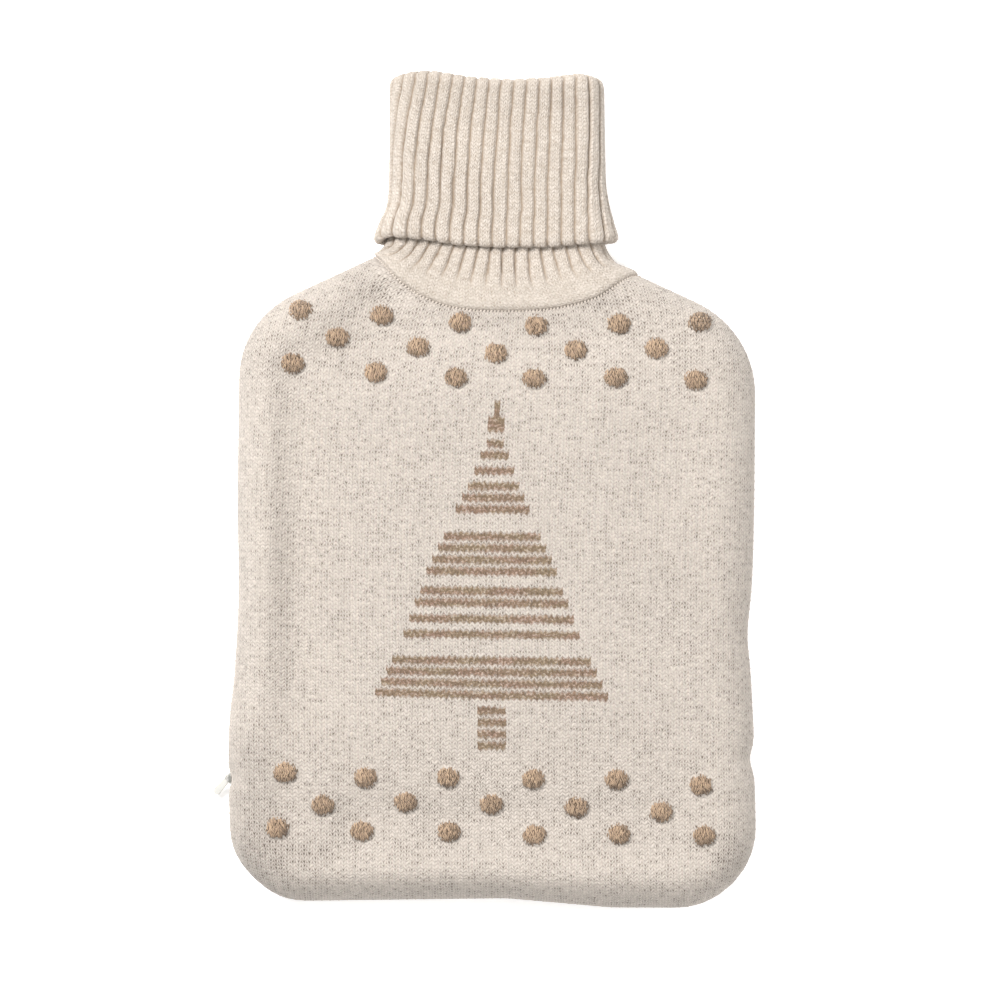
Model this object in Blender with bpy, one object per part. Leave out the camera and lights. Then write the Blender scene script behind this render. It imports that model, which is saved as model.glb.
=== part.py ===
"""A knitted hot water bottle cover, lying on its back on the plane Z = 0.

X runs across the cover, Y from its foot to the top of its collar, and Z up out of its face.
The cover is hollow. A front panel and two back panels meet at a seam round the sides, a zip
crosses the back, and a ribbed collar stands on the neckline, folded over at the top and down to
its hem. All sizes here are in millimetres, and each mesh is made in metres.
"""

import math
from collections import namedtuple

import bmesh
import bpy
import numpy as np
from mathutils import geometry

MM = 0.001
GAP = 0.3  # between pieces that touch
SEAM_GAP = 0.55  # the same, measured down the slanting neckline

# ---- driving sizes -------------------------------------------------------------------------

CLOTH = 2.4  # thickness of the plain knit
BODY_HALF_DEPTH = 17.0  # from the side seam down to the back
NECK_HALF_DEPTH = 9.8  # the same at the neck
NECK_SEAM_HEIGHT = 12.0  # where the side seam ends up at the neck
NECK_SLOPE = (50.0, 98.0)  # the body thins to the neck between these two Y
EDGE_ROUND = 15.0  # the sides are rounded over this width
SIDE_FINENESS = 3.0  # a line over the form has this many times its points on the rounded side
CROWN = 2.0  # rise of the filled front over its flat depth
CROWN_REACH = 60.0  # reached this far in from its rounded side

OUTLINE_STEP = 2.0
ARC_POINTS = 9  # on each rounded corner of the outline
ON_OUTLINE = 0.05  # a point this near the outline counts as on it
LINE_SAMPLES = 400  # a line across the form is first drawn with this many points
SEAM_STEP = 9.0  # between points along a panel's side seam and its zip edge
NECK_STEP = 6.0
NECK_FINE_STEP = 0.5  # before the collar's columns are spaced out over it

Lattice = namedtuple("Lattice", "ring_shares ring_step grid_step margin")
OUTER_LATTICE = Lattice((0.17, 0.34, 0.51, 0.68, 0.84, 1.0), 9.0, 12.0, 1.6)  # a panel's own points
INNER_LATTICE = Lattice((0.25, 0.5, 0.75, 1.0), 11.0, 17.0, 1.8)

DOT_RADIUS = 5.0
DOT_RISE = 1.3
DOT_SHOULDER = 0.76  # share of the radius where a dot's steep rim ends
DOT_SHOULDER_RISE = 0.85  # share of its rise there
DOT_SIDES = 10
DOT_CLEARANCE = 1.6  # between a dot and the panel's next points

RIBS = 38
RIB_HALF_RELIEF = 0.4
RIB_PLACES = (0.0, 0.28, 0.72)  # groove, and both edges of the crest, in shares of a rib

ZIP_SLOT = 5.2  # between the two back panels
ZIP_LEFT = (-103.4, -115.6)  # the zip's line across the back
ZIP_RIGHT = (106.5, -106.5)
ZIP_END_INSET = 4.0  # the zip stops this far short of the side seam
ZIP_STEP = 9.0
TAPE_HALF_WIDTH = 5.5
TAPE_THICKNESS = 0.7
TAPE_DEPTH = CLOTH + 2 * GAP  # of its near face, in from the cloth's outer face
COIL_DEPTH = 0.9
COIL_HALF_FACE, COIL_HALF_BASE = 1.7, 2.1

Corner = namedtuple("Corner", "x y radius")
OUTLINE_CORNERS = (  # seen from above, anticlockwise, up to a neck that the collar hides
    Corner(49.0, 130.0, 0.0),
    Corner(-41.0, 130.0, 0.0),
    Corner(-41.0, 95.5, 6.0),
    Corner(-99.0, 68.5, 37.0),
    Corner(-99.0, -60.0, 60.0),
    Corner(-103.4, -113.0, 30.0),
    Corner(-101.8, -164.7, 30.0),
    Corner(8.0, -163.3, 60.0),
    Corner(50.0, -167.0, 40.0),
    Corner(109.0, -167.2, 32.0),
    Corner(107.2, -97.0, 40.0),
    Corner(104.9, -60.0, 80.0),
    Corner(108.2, 64.4, 40.0),
    Corner(49.0, 92.0, 4.0),
)

Dent = namedtuple("Dent", "x y depth reach")
OUTLINE_DENTS = (  # where the seam is pulled in
    Dent(106.8, -107.5, 1.8, 5.0),
    Dent(-98.5, -2.0, -0.6, 30.0),
    Dent(-103.0, -97.0, 0.5, 8.0),
)

Swell = namedtuple("Swell", "x y rise reach_x reach_y")
FRONT_SWELLS = (  # soft hollows and puffs of the face
    Swell(-54.0, 75.0, -2.2, 14.0, 8.0),
    Swell(62.0, 75.0, -1.8, 13.0, 8.0),
    Swell(-77.0, 20.0, -0.9, 7.0, 46.0),
    Swell(84.0, 20.0, -0.5, 8.0, 60.0),
    Swell(-70.0, -140.0, 0.9, 26.0, 12.0),
    Swell(60.0, -142.0, 0.8, 30.0, 12.0),
    Swell(0.0, -110.0, -0.7, 70.0, 7.0),
)

Neckline = namedtuple(
    "Neckline", "centre_x half_width front_y left_rise left_power right_rise right_power back_y"
)
SEAM_LINE = Neckline(8.0, 52.0, 71.8, 22.0, 3.0, 14.0, 2.6, 83.0)  # the collar is linked on here
RIB_END_LINE = Neckline(5.0, 47.0, 81.6, 13.3, 1.9, 9.0, 1.9, 90.5)  # the ribs end above it
BACK_POWER = 3.0

DotRow = namedtuple("DotRow", "xs ys")
DOT_ROWS = (  # centres, left to right: three staggered rows at the top and three at the foot
    DotRow((-74.4, -42.0, -10.8, 20.0, 52.8, 85.2), (72.6, 69.8, 67.8, 66.2, 66.6, 67.8)),
    DotRow((-59.6, -27.6, 3.6, 35.6, 67.6), (61.0, 57.8, 55.4, 56.6, 57.0)),
    DotRow((-77.2, -44.4, -12.4, 19.2, 51.6, 83.6), (51.4, 47.4, 45.4, 44.6, 45.4, 44.2)),
    DotRow((-80.4, -48.4, -15.6, 18.4, 52.0, 85.6), (-111.8, -114.2, -114.2, -115.0, -114.6, -117.0)),
    DotRow((-65.6, -32.4, 1.6, 36.0, 70.0), (-124.6, -123.8, -125.0, -126.2, -128.2)),
    DotRow((-83.6, -50.0, -14.8, 19.2, 52.8, 86.8), (-134.6, -135.8, -136.2, -137.4, -137.0, -137.4)),
)

Ring = namedtuple("Ring", "rise centre_x half_width centre_z half_depth")
TUBE_RINGS = (  # the collar's inner layer, by its share of the way from the hem to the fold
    Ring(0.00, 4.0, 43.2, 12.0, 7.4),
    Ring(0.11, 4.2, 42.4, 11.8, 7.1),
    Ring(0.20, 4.8, 40.3, 11.6, 6.9),
    Ring(0.35, 4.6, 38.8, 11.5, 6.7),
    Ring(1.00, 4.4, 38.3, 11.5, 6.7),
)
FLAP_RINGS = (  # the outer layer, folded down over it
    Ring(0.00, 4.0, 46.8, 12.3, 10.6),
    Ring(0.11, 4.2, 45.5, 12.0, 10.3),
    Ring(0.20, 4.8, 43.4, 11.7, 10.0),
    Ring(0.35, 4.6, 41.9, 11.5, 9.7),
    Ring(1.00, 4.4, 41.3, 11.5, 9.7),
)
NECK_TOP = 98.0  # Y where the tube goes in under the hem
FOLD_RADIUS = 1.5  # of the middle of the cloth
NORMAL_REACH = 0.15  # in rings up a layer, to each side of where its slope is read

Edge = namedtuple("Edge", "turn y")
HEM_EDGE = (  # by the share of the way round from the left side over the front
    Edge(0.00, 99.4),
    Edge(0.05, 101.8),
    Edge(0.12, 100.4),
    Edge(0.18, 98.4),
    Edge(0.25, 97.4),
    Edge(0.35, 97.6),
    Edge(0.45, 99.4),
    Edge(0.50, 99.8),
    Edge(0.60, 98.6),
    Edge(0.90, 98.2),
)
TOP_EDGE = (
    Edge(0.00, 165.2),
    Edge(0.06, 166.6),
    Edge(0.11, 167.0),
    Edge(0.19, 165.2),
    Edge(0.28, 164.2),
    Edge(0.36, 164.6),
    Edge(0.44, 165.9),
    Edge(0.50, 164.4),
    Edge(0.75, 165.0),
)

# The collar's cloth in section: up its outer side from the neckline, under the fold, down to the
# hem, and back over the top to the neckline. "at" counts rings up a layer, or degrees round the
# fold, "off" is measured from the middle of the cloth towards its outer side in the tube, and
# "rib" is the share of the rib's relief there.
Step = namedtuple("Step", "layer at off rib")
COLLAR_SECTION = (
    Step("tube", 0.00, 1.2, 0.0),
    Step("tube", 0.25, 2.6, 0.0),
    Step("tube", 0.60, 2.7, 0.0),
    Step("tube", 0.85, 2.0, 0.2),
    Step("tube", 1.05, 1.4, 0.8),
    Step("tube", 1.40, 1.1, 1.0),
    Step("tube", 2.00, 1.1, 1.0),
    Step("tube", 4.00, 1.1, 0.0),
    Step("tube", 6.00, 1.1, 0.0),
    Step("fold", 90.0, 1.15, 0.0),
    Step("flap", 4.00, -1.1, 0.0),
    Step("flap", 2.00, -1.1, 0.0),
    Step("flap", 0.00, -0.9, 0.0),
    Step("flap", -0.10, 0.0, 0.0),
    Step("flap", 0.00, 0.9, 1.0),
    Step("flap", 1.00, 1.1, 1.0),
    Step("flap", 2.00, 1.1, 1.0),
    Step("flap", 3.00, 1.1, 1.0),
    Step("flap", 4.00, 1.1, 1.0),
    Step("fold", 130.0, -1.1, 1.0),
    Step("fold", 90.0, -1.1, 1.0),
    Step("fold", 50.0, -1.1, 1.0),
    Step("tube", 6.00, -1.1, 1.0),
    Step("tube", 4.50, -1.1, 1.0),
    Step("tube", 3.00, -1.1, 1.0),
    Step("tube", 2.00, -1.1, 1.0),
    Step("tube", 1.30, -1.1, 0.6),
    Step("tube", 0.60, -1.2, 0.0),
    Step("tube", 0.00, -1.2, 0.0),
)

SLIDER_TURN = 35.0  # degrees below the side seam, round the rounded side
SLIDER_LENGTH = 8.0
SLIDER_WIDTH = 4.4
SLIDER_TAIL_WIDTH = 3.3
SLIDER_SHOULDER = 1.0  # the plate is at its full width from here to its chamfered nose
SLIDER_CHAMFER = 0.8
SLIDER_LOW, SLIDER_HIGH = -0.55, 0.85  # its plate, measured out from the cloth's outer face
SLIDER_PROBE = 0.4  # the seat's slope is read this far to each side

Place = namedtuple("Place", "along out")
ARCH = (  # the arch over the plate, from one foot over to the other, and back along its top
    Place(-3.2, 0.3),
    Place(-2.0, 0.3),
    Place(-1.7, 2.6),
    Place(1.7, 2.6),
    Place(2.0, 0.3),
    Place(3.2, 0.3),
    Place(2.4, 3.45),
    Place(-2.4, 3.45),
)
ARCH_BAR_OUT = 3.03  # the middle of its bar, which carries the pull
ARCH_WIDTH = 1.0

PULL_SWING = 43.0  # degrees from straight out, towards the foot
PULL_LENGTH = 9.2
PULL_RING = 1.75
PULL_RING_OPENS = 40.0  # degrees to each side, where the tab leaves its ring
PULL_HOLE = 1.05
PULL_HALF_WIDTH = 1.5
PULL_THICKNESS = 0.8

SHARP_ANGLE = 50.0  # degrees

CREAM, RIB_CREAM = (0.76, 0.70, 0.60), (0.77, 0.69, 0.57)
TAPE_WHITE, PULL_WHITE = (0.82, 0.80, 0.76), (0.80, 0.80, 0.78)
SLIDER_GREY = (0.42, 0.41, 0.38)


# ---- small helpers -------------------------------------------------------------------------


def smooth(share):
    """A share from 0 to 1, eased at both ends."""
    share = np.clip(share, 0.0, 1.0)
    return share * share * (3.0 - 2.0 * share)


def unit(vectors):
    return vectors / np.linalg.norm(vectors, axis=-1, keepdims=True)


def lengths_along(points):
    """The distance from the first point to each, along the line through them."""
    steps = np.linalg.norm(np.diff(points, axis=0), axis=1)
    return np.concatenate([[0.0], np.cumsum(steps)])


def at_lengths(points, wanted):
    """Points at the wanted distances along the line through the given points."""
    along = lengths_along(points)
    return np.stack([np.interp(wanted, along, column) for column in points.T], axis=1)


def evenly(points, spacing):
    """The line through the points, cut into even steps of about the spacing, ends kept."""
    total = lengths_along(points)[-1]
    steps = max(2, round(total / spacing))
    return at_lengths(points, np.linspace(0.0, total, steps + 1))


# ---- the form: the outer face of the body and of the foot of the neck --------------------------


def rounded(corners):
    """The closed outline through the corners, each rounded by an arc."""
    places = np.array([(corner.x, corner.y) for corner in corners])
    line = []
    for index, corner in enumerate(corners):
        here = places[index]
        back = unit(places[index - 1] - here)
        ahead = unit(places[(index + 1) % len(corners)] - here)
        bend = math.acos(np.clip(back @ ahead, -1.0, 1.0))
        reach = corner.radius / math.tan(bend / 2)
        centre = here + unit(back + ahead) * corner.radius / math.sin(bend / 2)
        first = here + back * reach - centre
        last = here + ahead * reach - centre
        for share in np.linspace(0.0, 1.0, ARC_POINTS if corner.radius else 1):
            spoke = first * (1 - share) + last * share
            line.append(centre + unit(spoke) * corner.radius if corner.radius else here)
    return np.array(line)


def dented(line):
    """The outline with each dent pushed in along the outline's own normal."""
    ahead = np.roll(line, -1, axis=0) - np.roll(line, 1, axis=0)
    inward = unit(np.stack([-ahead[:, 1], ahead[:, 0]], axis=1))
    push = np.zeros(len(line))
    for dent in OUTLINE_DENTS:
        away = np.linalg.norm(line - (dent.x, dent.y), axis=1)
        push += dent.depth * np.exp(-((away / dent.reach) ** 2))
    return line + inward * push[:, None]


def closed_outline():
    line = rounded(OUTLINE_CORNERS)
    return dented(evenly(np.vstack([line, line[:1]]), OUTLINE_STEP)[:-1])


OUTLINE = closed_outline()
OUTLINE_LOOP = np.vstack([OUTLINE, OUTLINE[:1]])
OUTLINE_ALONG = lengths_along(OUTLINE_LOOP)


def inset(flat):
    """How far each flat point is inside the outline, and the way straight in from its edge."""
    run = np.roll(OUTLINE, -1, axis=0) - OUTLINE
    from_start = flat[:, None] - OUTLINE
    share = np.clip((from_start * run).sum(2) / (run**2).sum(1), 0.0, 1.0)
    away = from_start - share[..., None] * run
    distances = np.linalg.norm(away, axis=2)
    nearest = distances.argmin(axis=1)
    rows = np.arange(len(flat))
    distance = distances[rows, nearest]
    square = np.stack([-run[:, 1], run[:, 0]], axis=1)[nearest]
    straight_in = np.where(distance[:, None] > ON_OUTLINE, away[rows, nearest], square)
    return distance, unit(straight_in)


def depths(y):
    """Half the form's depth at a Y, and the height of its side seam."""
    start, end = NECK_SLOPE
    share = smooth((y - start) / (end - start))
    half = BODY_HALF_DEPTH + (NECK_HALF_DEPTH - BODY_HALF_DEPTH) * share
    return half, BODY_HALF_DEPTH + (NECK_SEAM_HEIGHT - BODY_HALF_DEPTH) * share


def swollen(plan, distance):
    """How far the front stands above its flat depth, from its crown and its swells."""
    rise = CROWN * smooth((distance - EDGE_ROUND) / CROWN_REACH)
    for swell in FRONT_SWELLS:
        square = ((plan[:, 0] - swell.x) / swell.reach_x) ** 2 + ((plan[:, 1] - swell.y) / swell.reach_y) ** 2
        rise += swell.rise * np.exp(-square)
    return rise


def on_form(flat, side, depth=0.0):
    """Points of the form over flat ones: side is 1 for the front and -1 for the back.

    A flat point within EDGE_ROUND of the outline rolls down the rounded side, so that the
    outline itself lands on the side seam. depth is measured in from the form's face.
    """
    flat = np.asarray(flat, float)
    distance, inward = inset(flat)
    turn = np.minimum(distance / EDGE_ROUND, 1.0) * math.pi / 2
    across = np.where(distance < EDGE_ROUND, EDGE_ROUND * (1 - np.cos(turn)), distance)
    plan = flat + inward * (across - distance)[:, None]
    half, seam = depths(plan[:, 1])
    rise = half - GAP / 2
    if side > 0:
        rise = rise + swollen(plan, distance)
    height = seam + side * (GAP / 2 + rise * np.sin(turn))
    slope = np.stack([half * np.cos(turn), EDGE_ROUND * np.sin(turn)], axis=1)
    slope = unit(slope)
    normal = np.column_stack([-inward * slope[:, :1], side * slope[:, 1]])
    return np.column_stack([plan, height]) - np.reshape(depth, (-1, 1)) * normal


def unrolled(plan):
    """The flat points that on_form rolls to these places seen from above."""
    distance, inward = inset(plan)
    turn = np.arccos(1 - np.minimum(distance / EDGE_ROUND, 1.0))
    flat_distance = np.where(distance < EDGE_ROUND, EDGE_ROUND * turn / (math.pi / 2), distance)
    return plan + inward * (flat_distance - distance)[:, None]


# ---- lines across the form -------------------------------------------------------------------


def neckline_front(neckline):
    def height(x):
        share = (x - neckline.centre_x) / neckline.half_width
        left = neckline.left_rise * np.maximum(-share, 0.0) ** neckline.left_power
        right = neckline.right_rise * np.maximum(share, 0.0) ** neckline.right_power
        return neckline.front_y + left + right

    return height


def zip_line(x):
    slope = (ZIP_RIGHT[1] - ZIP_LEFT[1]) / (ZIP_RIGHT[0] - ZIP_LEFT[0])
    return ZIP_LEFT[1] + slope * (x - ZIP_LEFT[0])


def lowered(line, drop):
    return lambda x: line(x) - drop


def crossings(line):
    """Where the outline crosses the line on its way down the left side and up the right."""
    above = OUTLINE_LOOP[:, 1] - line(OUTLINE_LOOP[:, 0])
    places = []
    for side in (-1, 1):
        flips = (above[:-1] * side < 0) & (above[1:] * side >= 0) & (OUTLINE_LOOP[:-1, 0] * side > 0)
        index = int(np.flatnonzero(flips)[0])
        share = above[index] / (above[index] - above[index + 1])
        places.append(OUTLINE_ALONG[index] + share * (OUTLINE_ALONG[index + 1] - OUTLINE_ALONG[index]))
    return places


def outline_between(start, end, spacing):
    """The outline from one distance along it to another, in even steps."""
    steps = max(2, round((end - start) / spacing))
    return at_lengths(OUTLINE_LOOP, np.linspace(start, end, steps + 1))


def line_between(line, start, end, spacing):
    """The line y(x) between two of its points, without them, in steps that close up at the sides."""
    xs = np.linspace(start[0], end[0], LINE_SAMPLES)
    fine = np.column_stack([xs, line(xs)])
    fine[0], fine[-1] = start, end
    steps = np.linalg.norm(np.diff(fine, axis=0), axis=1)
    steps[inset(fine[1:])[0] < EDGE_ROUND] *= SIDE_FINENESS
    along = np.concatenate([[0.0], np.cumsum(steps)])
    wanted = np.linspace(0.0, along[-1], max(2, round(along[-1] / spacing)) + 1)[1:-1]
    return np.stack([np.interp(wanted, along, column) for column in fine.T], axis=1)


def neckline_back(neckline, left, right):
    """The back's neckline, a shallow scoop from one end of the front's to the other."""

    def height(x):
        share = 2 * (x - left[0]) / (right[0] - left[0]) - 1
        to_left = (left[1] - neckline.back_y) * np.maximum(-share, 0.0) ** BACK_POWER
        to_right = (right[1] - neckline.back_y) * np.maximum(share, 0.0) ** BACK_POWER
        return neckline.back_y + to_left + to_right

    return height


# ---- panels ----------------------------------------------------------------------------------


def inside(points, boundary, margin):
    """Which points lie inside the boundary polygon, and no closer to it than the margin."""
    x, y = points[:, :1], points[:, 1:]
    ends = np.roll(boundary, -1, axis=0)
    spans = (boundary[:, 1] > y) != (ends[:, 1] > y)
    rise = np.where(ends[:, 1] == boundary[:, 1], 1.0, ends[:, 1] - boundary[:, 1])
    crossing = boundary[:, 0] + (y - boundary[:, 1]) * (ends[:, 0] - boundary[:, 0]) / rise
    odd = (spans & (x < crossing)).sum(axis=1) % 2 == 1
    run = ends - boundary
    share = np.clip(((points[:, None] - boundary) * run).sum(2) / (run**2).sum(1), 0.0, 1.0)
    away = np.linalg.norm(points[:, None] - boundary - share[..., None] * run, axis=2)
    return odd & (away.min(axis=1) > margin)


def lattice_points(lattice, boundary):
    """Flat points over a panel: rings across its rounded side, and a staggered grid in its middle."""
    ring = evenly(OUTLINE_LOOP, lattice.ring_step)[:-1]
    inward = inset(ring)[1]
    rings = [ring + inward * EDGE_ROUND * share for share in lattice.ring_shares]
    low, high = OUTLINE.min(axis=0), OUTLINE.max(axis=0)
    step = lattice.grid_step
    middle = []
    for row, y in enumerate(np.arange(low[1], high[1], step * math.sqrt(0.75))):
        shift = step / 2 if row % 2 else 0.0
        middle += [(x, y) for x in np.arange(low[0] + shift, high[0], step)]
    middle = np.array(middle)
    middle = middle[inset(middle)[0] > EDGE_ROUND + step * 0.45]
    points = np.vstack([*rings, middle])
    return points[inside(points, boundary, lattice.margin)]


def dot_centres():
    return np.array([place for row in DOT_ROWS for place in zip(row.xs, row.ys)])


def dotted(points):
    """The panel's own points apart from the dots, then every dot's, with their height off its face."""
    angles = np.arange(DOT_SIDES) * 2 * math.pi / DOT_SIDES
    circle = np.column_stack([np.cos(angles), np.sin(angles)])
    plan, rises = [], []
    for centre in dot_centres():
        plan += [centre + circle * DOT_RADIUS, centre + circle * DOT_RADIUS * DOT_SHOULDER, centre[None]]
        rises += [0.0] * DOT_SIDES + [DOT_RISE * DOT_SHOULDER_RISE] * DOT_SIDES + [DOT_RISE]
    gaps = np.linalg.norm(points[:, None] - unrolled(dot_centres()), axis=2)
    kept = points[gaps.min(axis=1) > DOT_RADIUS + DOT_CLEARANCE]
    return np.vstack([kept, unrolled(np.vstack(plan))]), np.array([0.0] * len(kept) + rises)


def triangulated(boundary, inner):
    """Triangles over the boundary polygon and the points inside it, anticlockwise."""
    points = np.vstack([boundary, inner])
    rim = [(index, (index + 1) % len(boundary)) for index in range(len(boundary))]
    made = geometry.delaunay_2d_cdt([tuple(point) for point in points], rim, [], 1, 1e-6)
    if len(made[0]) != len(points):
        raise ValueError("two points of the panel coincide")
    order = [sources[0] for sources in made[3]]
    return [tuple(order[corner] for corner in face) for face in made[2]]


def panel(name, boundary, side, material, finished=lambda points: (points, np.zeros(len(points)))):
    """A cloth panel: a fine outer face, a coarser inner one, and the cut edge between them.

    finished takes the outer face's flat points and gives them back with their height off it.
    """
    outer, rises = finished(lattice_points(OUTER_LATTICE, boundary))
    inner = lattice_points(INNER_LATTICE, boundary)
    points = np.vstack(
        [
            on_form(boundary, side),
            on_form(outer, side, -rises),
            on_form(boundary, side, CLOTH),
            on_form(inner, side, CLOTH),
        ]
    )
    count, shift = len(boundary), len(boundary) + len(outer)
    faces = triangulated(boundary, outer)
    faces += [tuple(corner + shift for corner in reversed(face)) for face in triangulated(boundary, inner)]
    for index in range(count):
        after = (index + 1) % count
        faces.append((after, index, index + shift, after + shift))
    if side < 0:
        faces = [tuple(reversed(face)) for face in faces]
    return solid(name, points, faces, material)


def front_boundary():
    line = lowered(neckline_front(SEAM_LINE), SEAM_GAP)
    start, end = crossings(line)
    sides = outline_between(start, end, SEAM_STEP)
    return np.vstack([sides, line_between(line, sides[-1], sides[0], NECK_STEP)])


def back_boundaries():
    """The back above the zip and the back below it."""
    neck = lowered(neckline_front(SEAM_LINE), SEAM_GAP)
    neck_left, neck_right = crossings(neck)
    upper, lower = lowered(zip_line, -ZIP_SLOT / 2), lowered(zip_line, ZIP_SLOT / 2)
    upper_left, upper_right = crossings(upper)
    lower_left, lower_right = crossings(lower)
    left = outline_between(neck_left, upper_left, SEAM_STEP)
    right = outline_between(upper_right, neck_right, SEAM_STEP)
    raised_ends = left[0] + (0.0, SEAM_GAP), right[-1] + (0.0, SEAM_GAP)
    neck_back = lowered(neckline_back(SEAM_LINE, *raised_ends), SEAM_GAP)
    above = np.vstack(
        [
            left,
            line_between(upper, left[-1], right[0], SEAM_STEP),
            right,
            line_between(neck_back, right[-1], left[0], NECK_STEP),
        ]
    )
    foot = outline_between(lower_left, lower_right, SEAM_STEP)
    below = np.vstack([foot, line_between(lower, foot[-1], foot[0], SEAM_STEP)])
    return above, below


# ---- collar ----------------------------------------------------------------------------------


def column_places():
    """Each column's share of the way round, with its place in the rib's relief, -1 to 1."""
    turns, reliefs = [], []
    for rib in range(RIBS):
        for place in RIB_PLACES:
            turns.append((rib + place) / RIBS)
            reliefs.append(-1.0 if place == 0.0 else 1.0)
    return np.array(turns), np.array(reliefs)


TURNS, RELIEFS = column_places()


def round_edge(edges):
    """A closed edge's Y at each column."""
    return np.interp(TURNS, [edge.turn for edge in edges], [edge.y for edge in edges], period=1.0)


def neckline_ring(neckline, depth):
    """A ring of points on the form along a neckline, over the front and back under the rear."""
    front = neckline_front(neckline)
    left, right = (at_lengths(OUTLINE_LOOP, [place])[0] for place in crossings(front))
    over = np.vstack([[left], line_between(front, left, right, NECK_FINE_STEP), [right]])
    back = neckline_back(neckline, left, right)
    under = np.vstack([[right], line_between(back, right, left, NECK_FINE_STEP), [left]])
    ring = []
    for line, side, first in ((over, 1, 0.0), (under, -1, 0.5)):
        points = on_form(line, side, depth)
        chosen = (TURNS >= first) & (TURNS < first + 0.5)
        ring.append(at_lengths(points, (TURNS[chosen] - first) * 2 * lengths_along(points)[-1]))
    return np.vstack(ring)


def flat_ring(ring, y):
    """A ring with flat front and back and half-round sides, evenly spaced from its left side."""
    straight = 2 * (ring.half_width - ring.half_depth)
    quarter = math.pi * ring.half_depth / 2
    along = TURNS * (2 * straight + 4 * quarter)
    marks = np.cumsum([quarter, straight, 2 * quarter, straight, quarter])
    angle = np.interp(along, np.concatenate([[0.0], marks]), np.array([180, 90, 90, -90, -90, -180.0]))
    slide = np.interp(along, np.concatenate([[0.0], marks]), np.array([-1, -1, 1, 1, -1, -1]) * straight / 2)
    x = ring.centre_x + slide + ring.half_depth * np.cos(np.radians(angle))
    z = ring.centre_z + ring.half_depth * np.sin(np.radians(angle))
    return np.column_stack([x, y, z])


def tube_layer():
    """The inner layer's rings, from the neckline up to the fold."""
    top = round_edge(TOP_EDGE) - FOLD_RADIUS - CLOTH / 2
    rings = [neckline_ring(SEAM_LINE, CLOTH / 2), neckline_ring(RIB_END_LINE, CLOTH / 2)]
    rings += [flat_ring(ring, NECK_TOP + (top - NECK_TOP) * ring.rise) for ring in TUBE_RINGS]
    return np.array(rings)


def flap_layer():
    """The outer layer's rings, from the hem up to the fold."""
    top = round_edge(TOP_EDGE) - FOLD_RADIUS - CLOTH / 2
    hem = round_edge(HEM_EDGE)
    return np.array([flat_ring(ring, hem + (top - hem) * ring.rise) for ring in FLAP_RINGS])


def between_rings(layer, at):
    """A ring part of the way between two of a layer's rings, on a smooth curve through them."""
    index = int(np.clip(math.floor(at), 0, len(layer) - 2))
    share = at - index
    before, after = layer[max(index - 1, 0)], layer[min(index + 2, len(layer) - 1)]
    start, end = layer[index], layer[index + 1]
    leave, arrive = (end - before) / 2, (after - start) / 2
    square, cube = share**2, share**3
    return (
        start * (2 * cube - 3 * square + 1)
        + leave * (cube - 2 * square + share)
        + end * (3 * square - 2 * cube)
        + arrive * (cube - square)
    )


def ring_normals(layer, at):
    """The way out of the collar at each point of a ring."""
    ring = between_rings(layer, at)
    around = np.roll(ring, -1, axis=0) - np.roll(ring, 1, axis=0)
    low, high = max(at - NORMAL_REACH, 0.0), min(at + NORMAL_REACH, len(layer) - 1.0)
    upward = between_rings(layer, high) - between_rings(layer, low)
    return unit(np.cross(around, upward))


def fold_ring(tube, flap, angle, off):
    """A ring on the fold, at an angle from the tube's side over the top to the flap's."""
    bottom = (tube[-1] + flap[-1]) / 2
    outward = (flap[-1] - tube[-1]) / 2
    reach = np.linalg.norm(outward, axis=1, keepdims=True)
    radius = reach - off
    along = -math.cos(math.radians(angle)) * unit(outward) * radius
    upward = np.array([0.0, 1.0, 0.0]) * math.sin(math.radians(angle)) * radius
    return bottom + along + upward


def collar(material):
    """The ribbed collar: one tube of cloth, folded over outwards, its section swept round."""
    tube, flap = tube_layer(), flap_layer()
    rows = []
    for step in COLLAR_SECTION:
        off = step.off + math.copysign(RIB_HALF_RELIEF, step.off) * step.rib * RELIEFS
        if step.layer == "fold":
            rows.append(fold_ring(tube, flap, step.at, off[:, None]))
        else:
            layer = tube if step.layer == "tube" else flap
            normals = ring_normals(layer, max(step.at, 0.0))
            rows.append(between_rings(layer, step.at) + normals * off[:, None])
    columns = len(TURNS)
    faces = []
    for row in range(len(rows)):
        for column in range(columns):
            after, above = (column + 1) % columns, (row + 1) % len(rows)
            faces.append(
                (
                    row * columns + column,
                    row * columns + after,
                    above * columns + after,
                    above * columns + column,
                )
            )
    return solid("collar", np.vstack(rows), faces, material)


# ---- zip -------------------------------------------------------------------------------------


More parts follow.
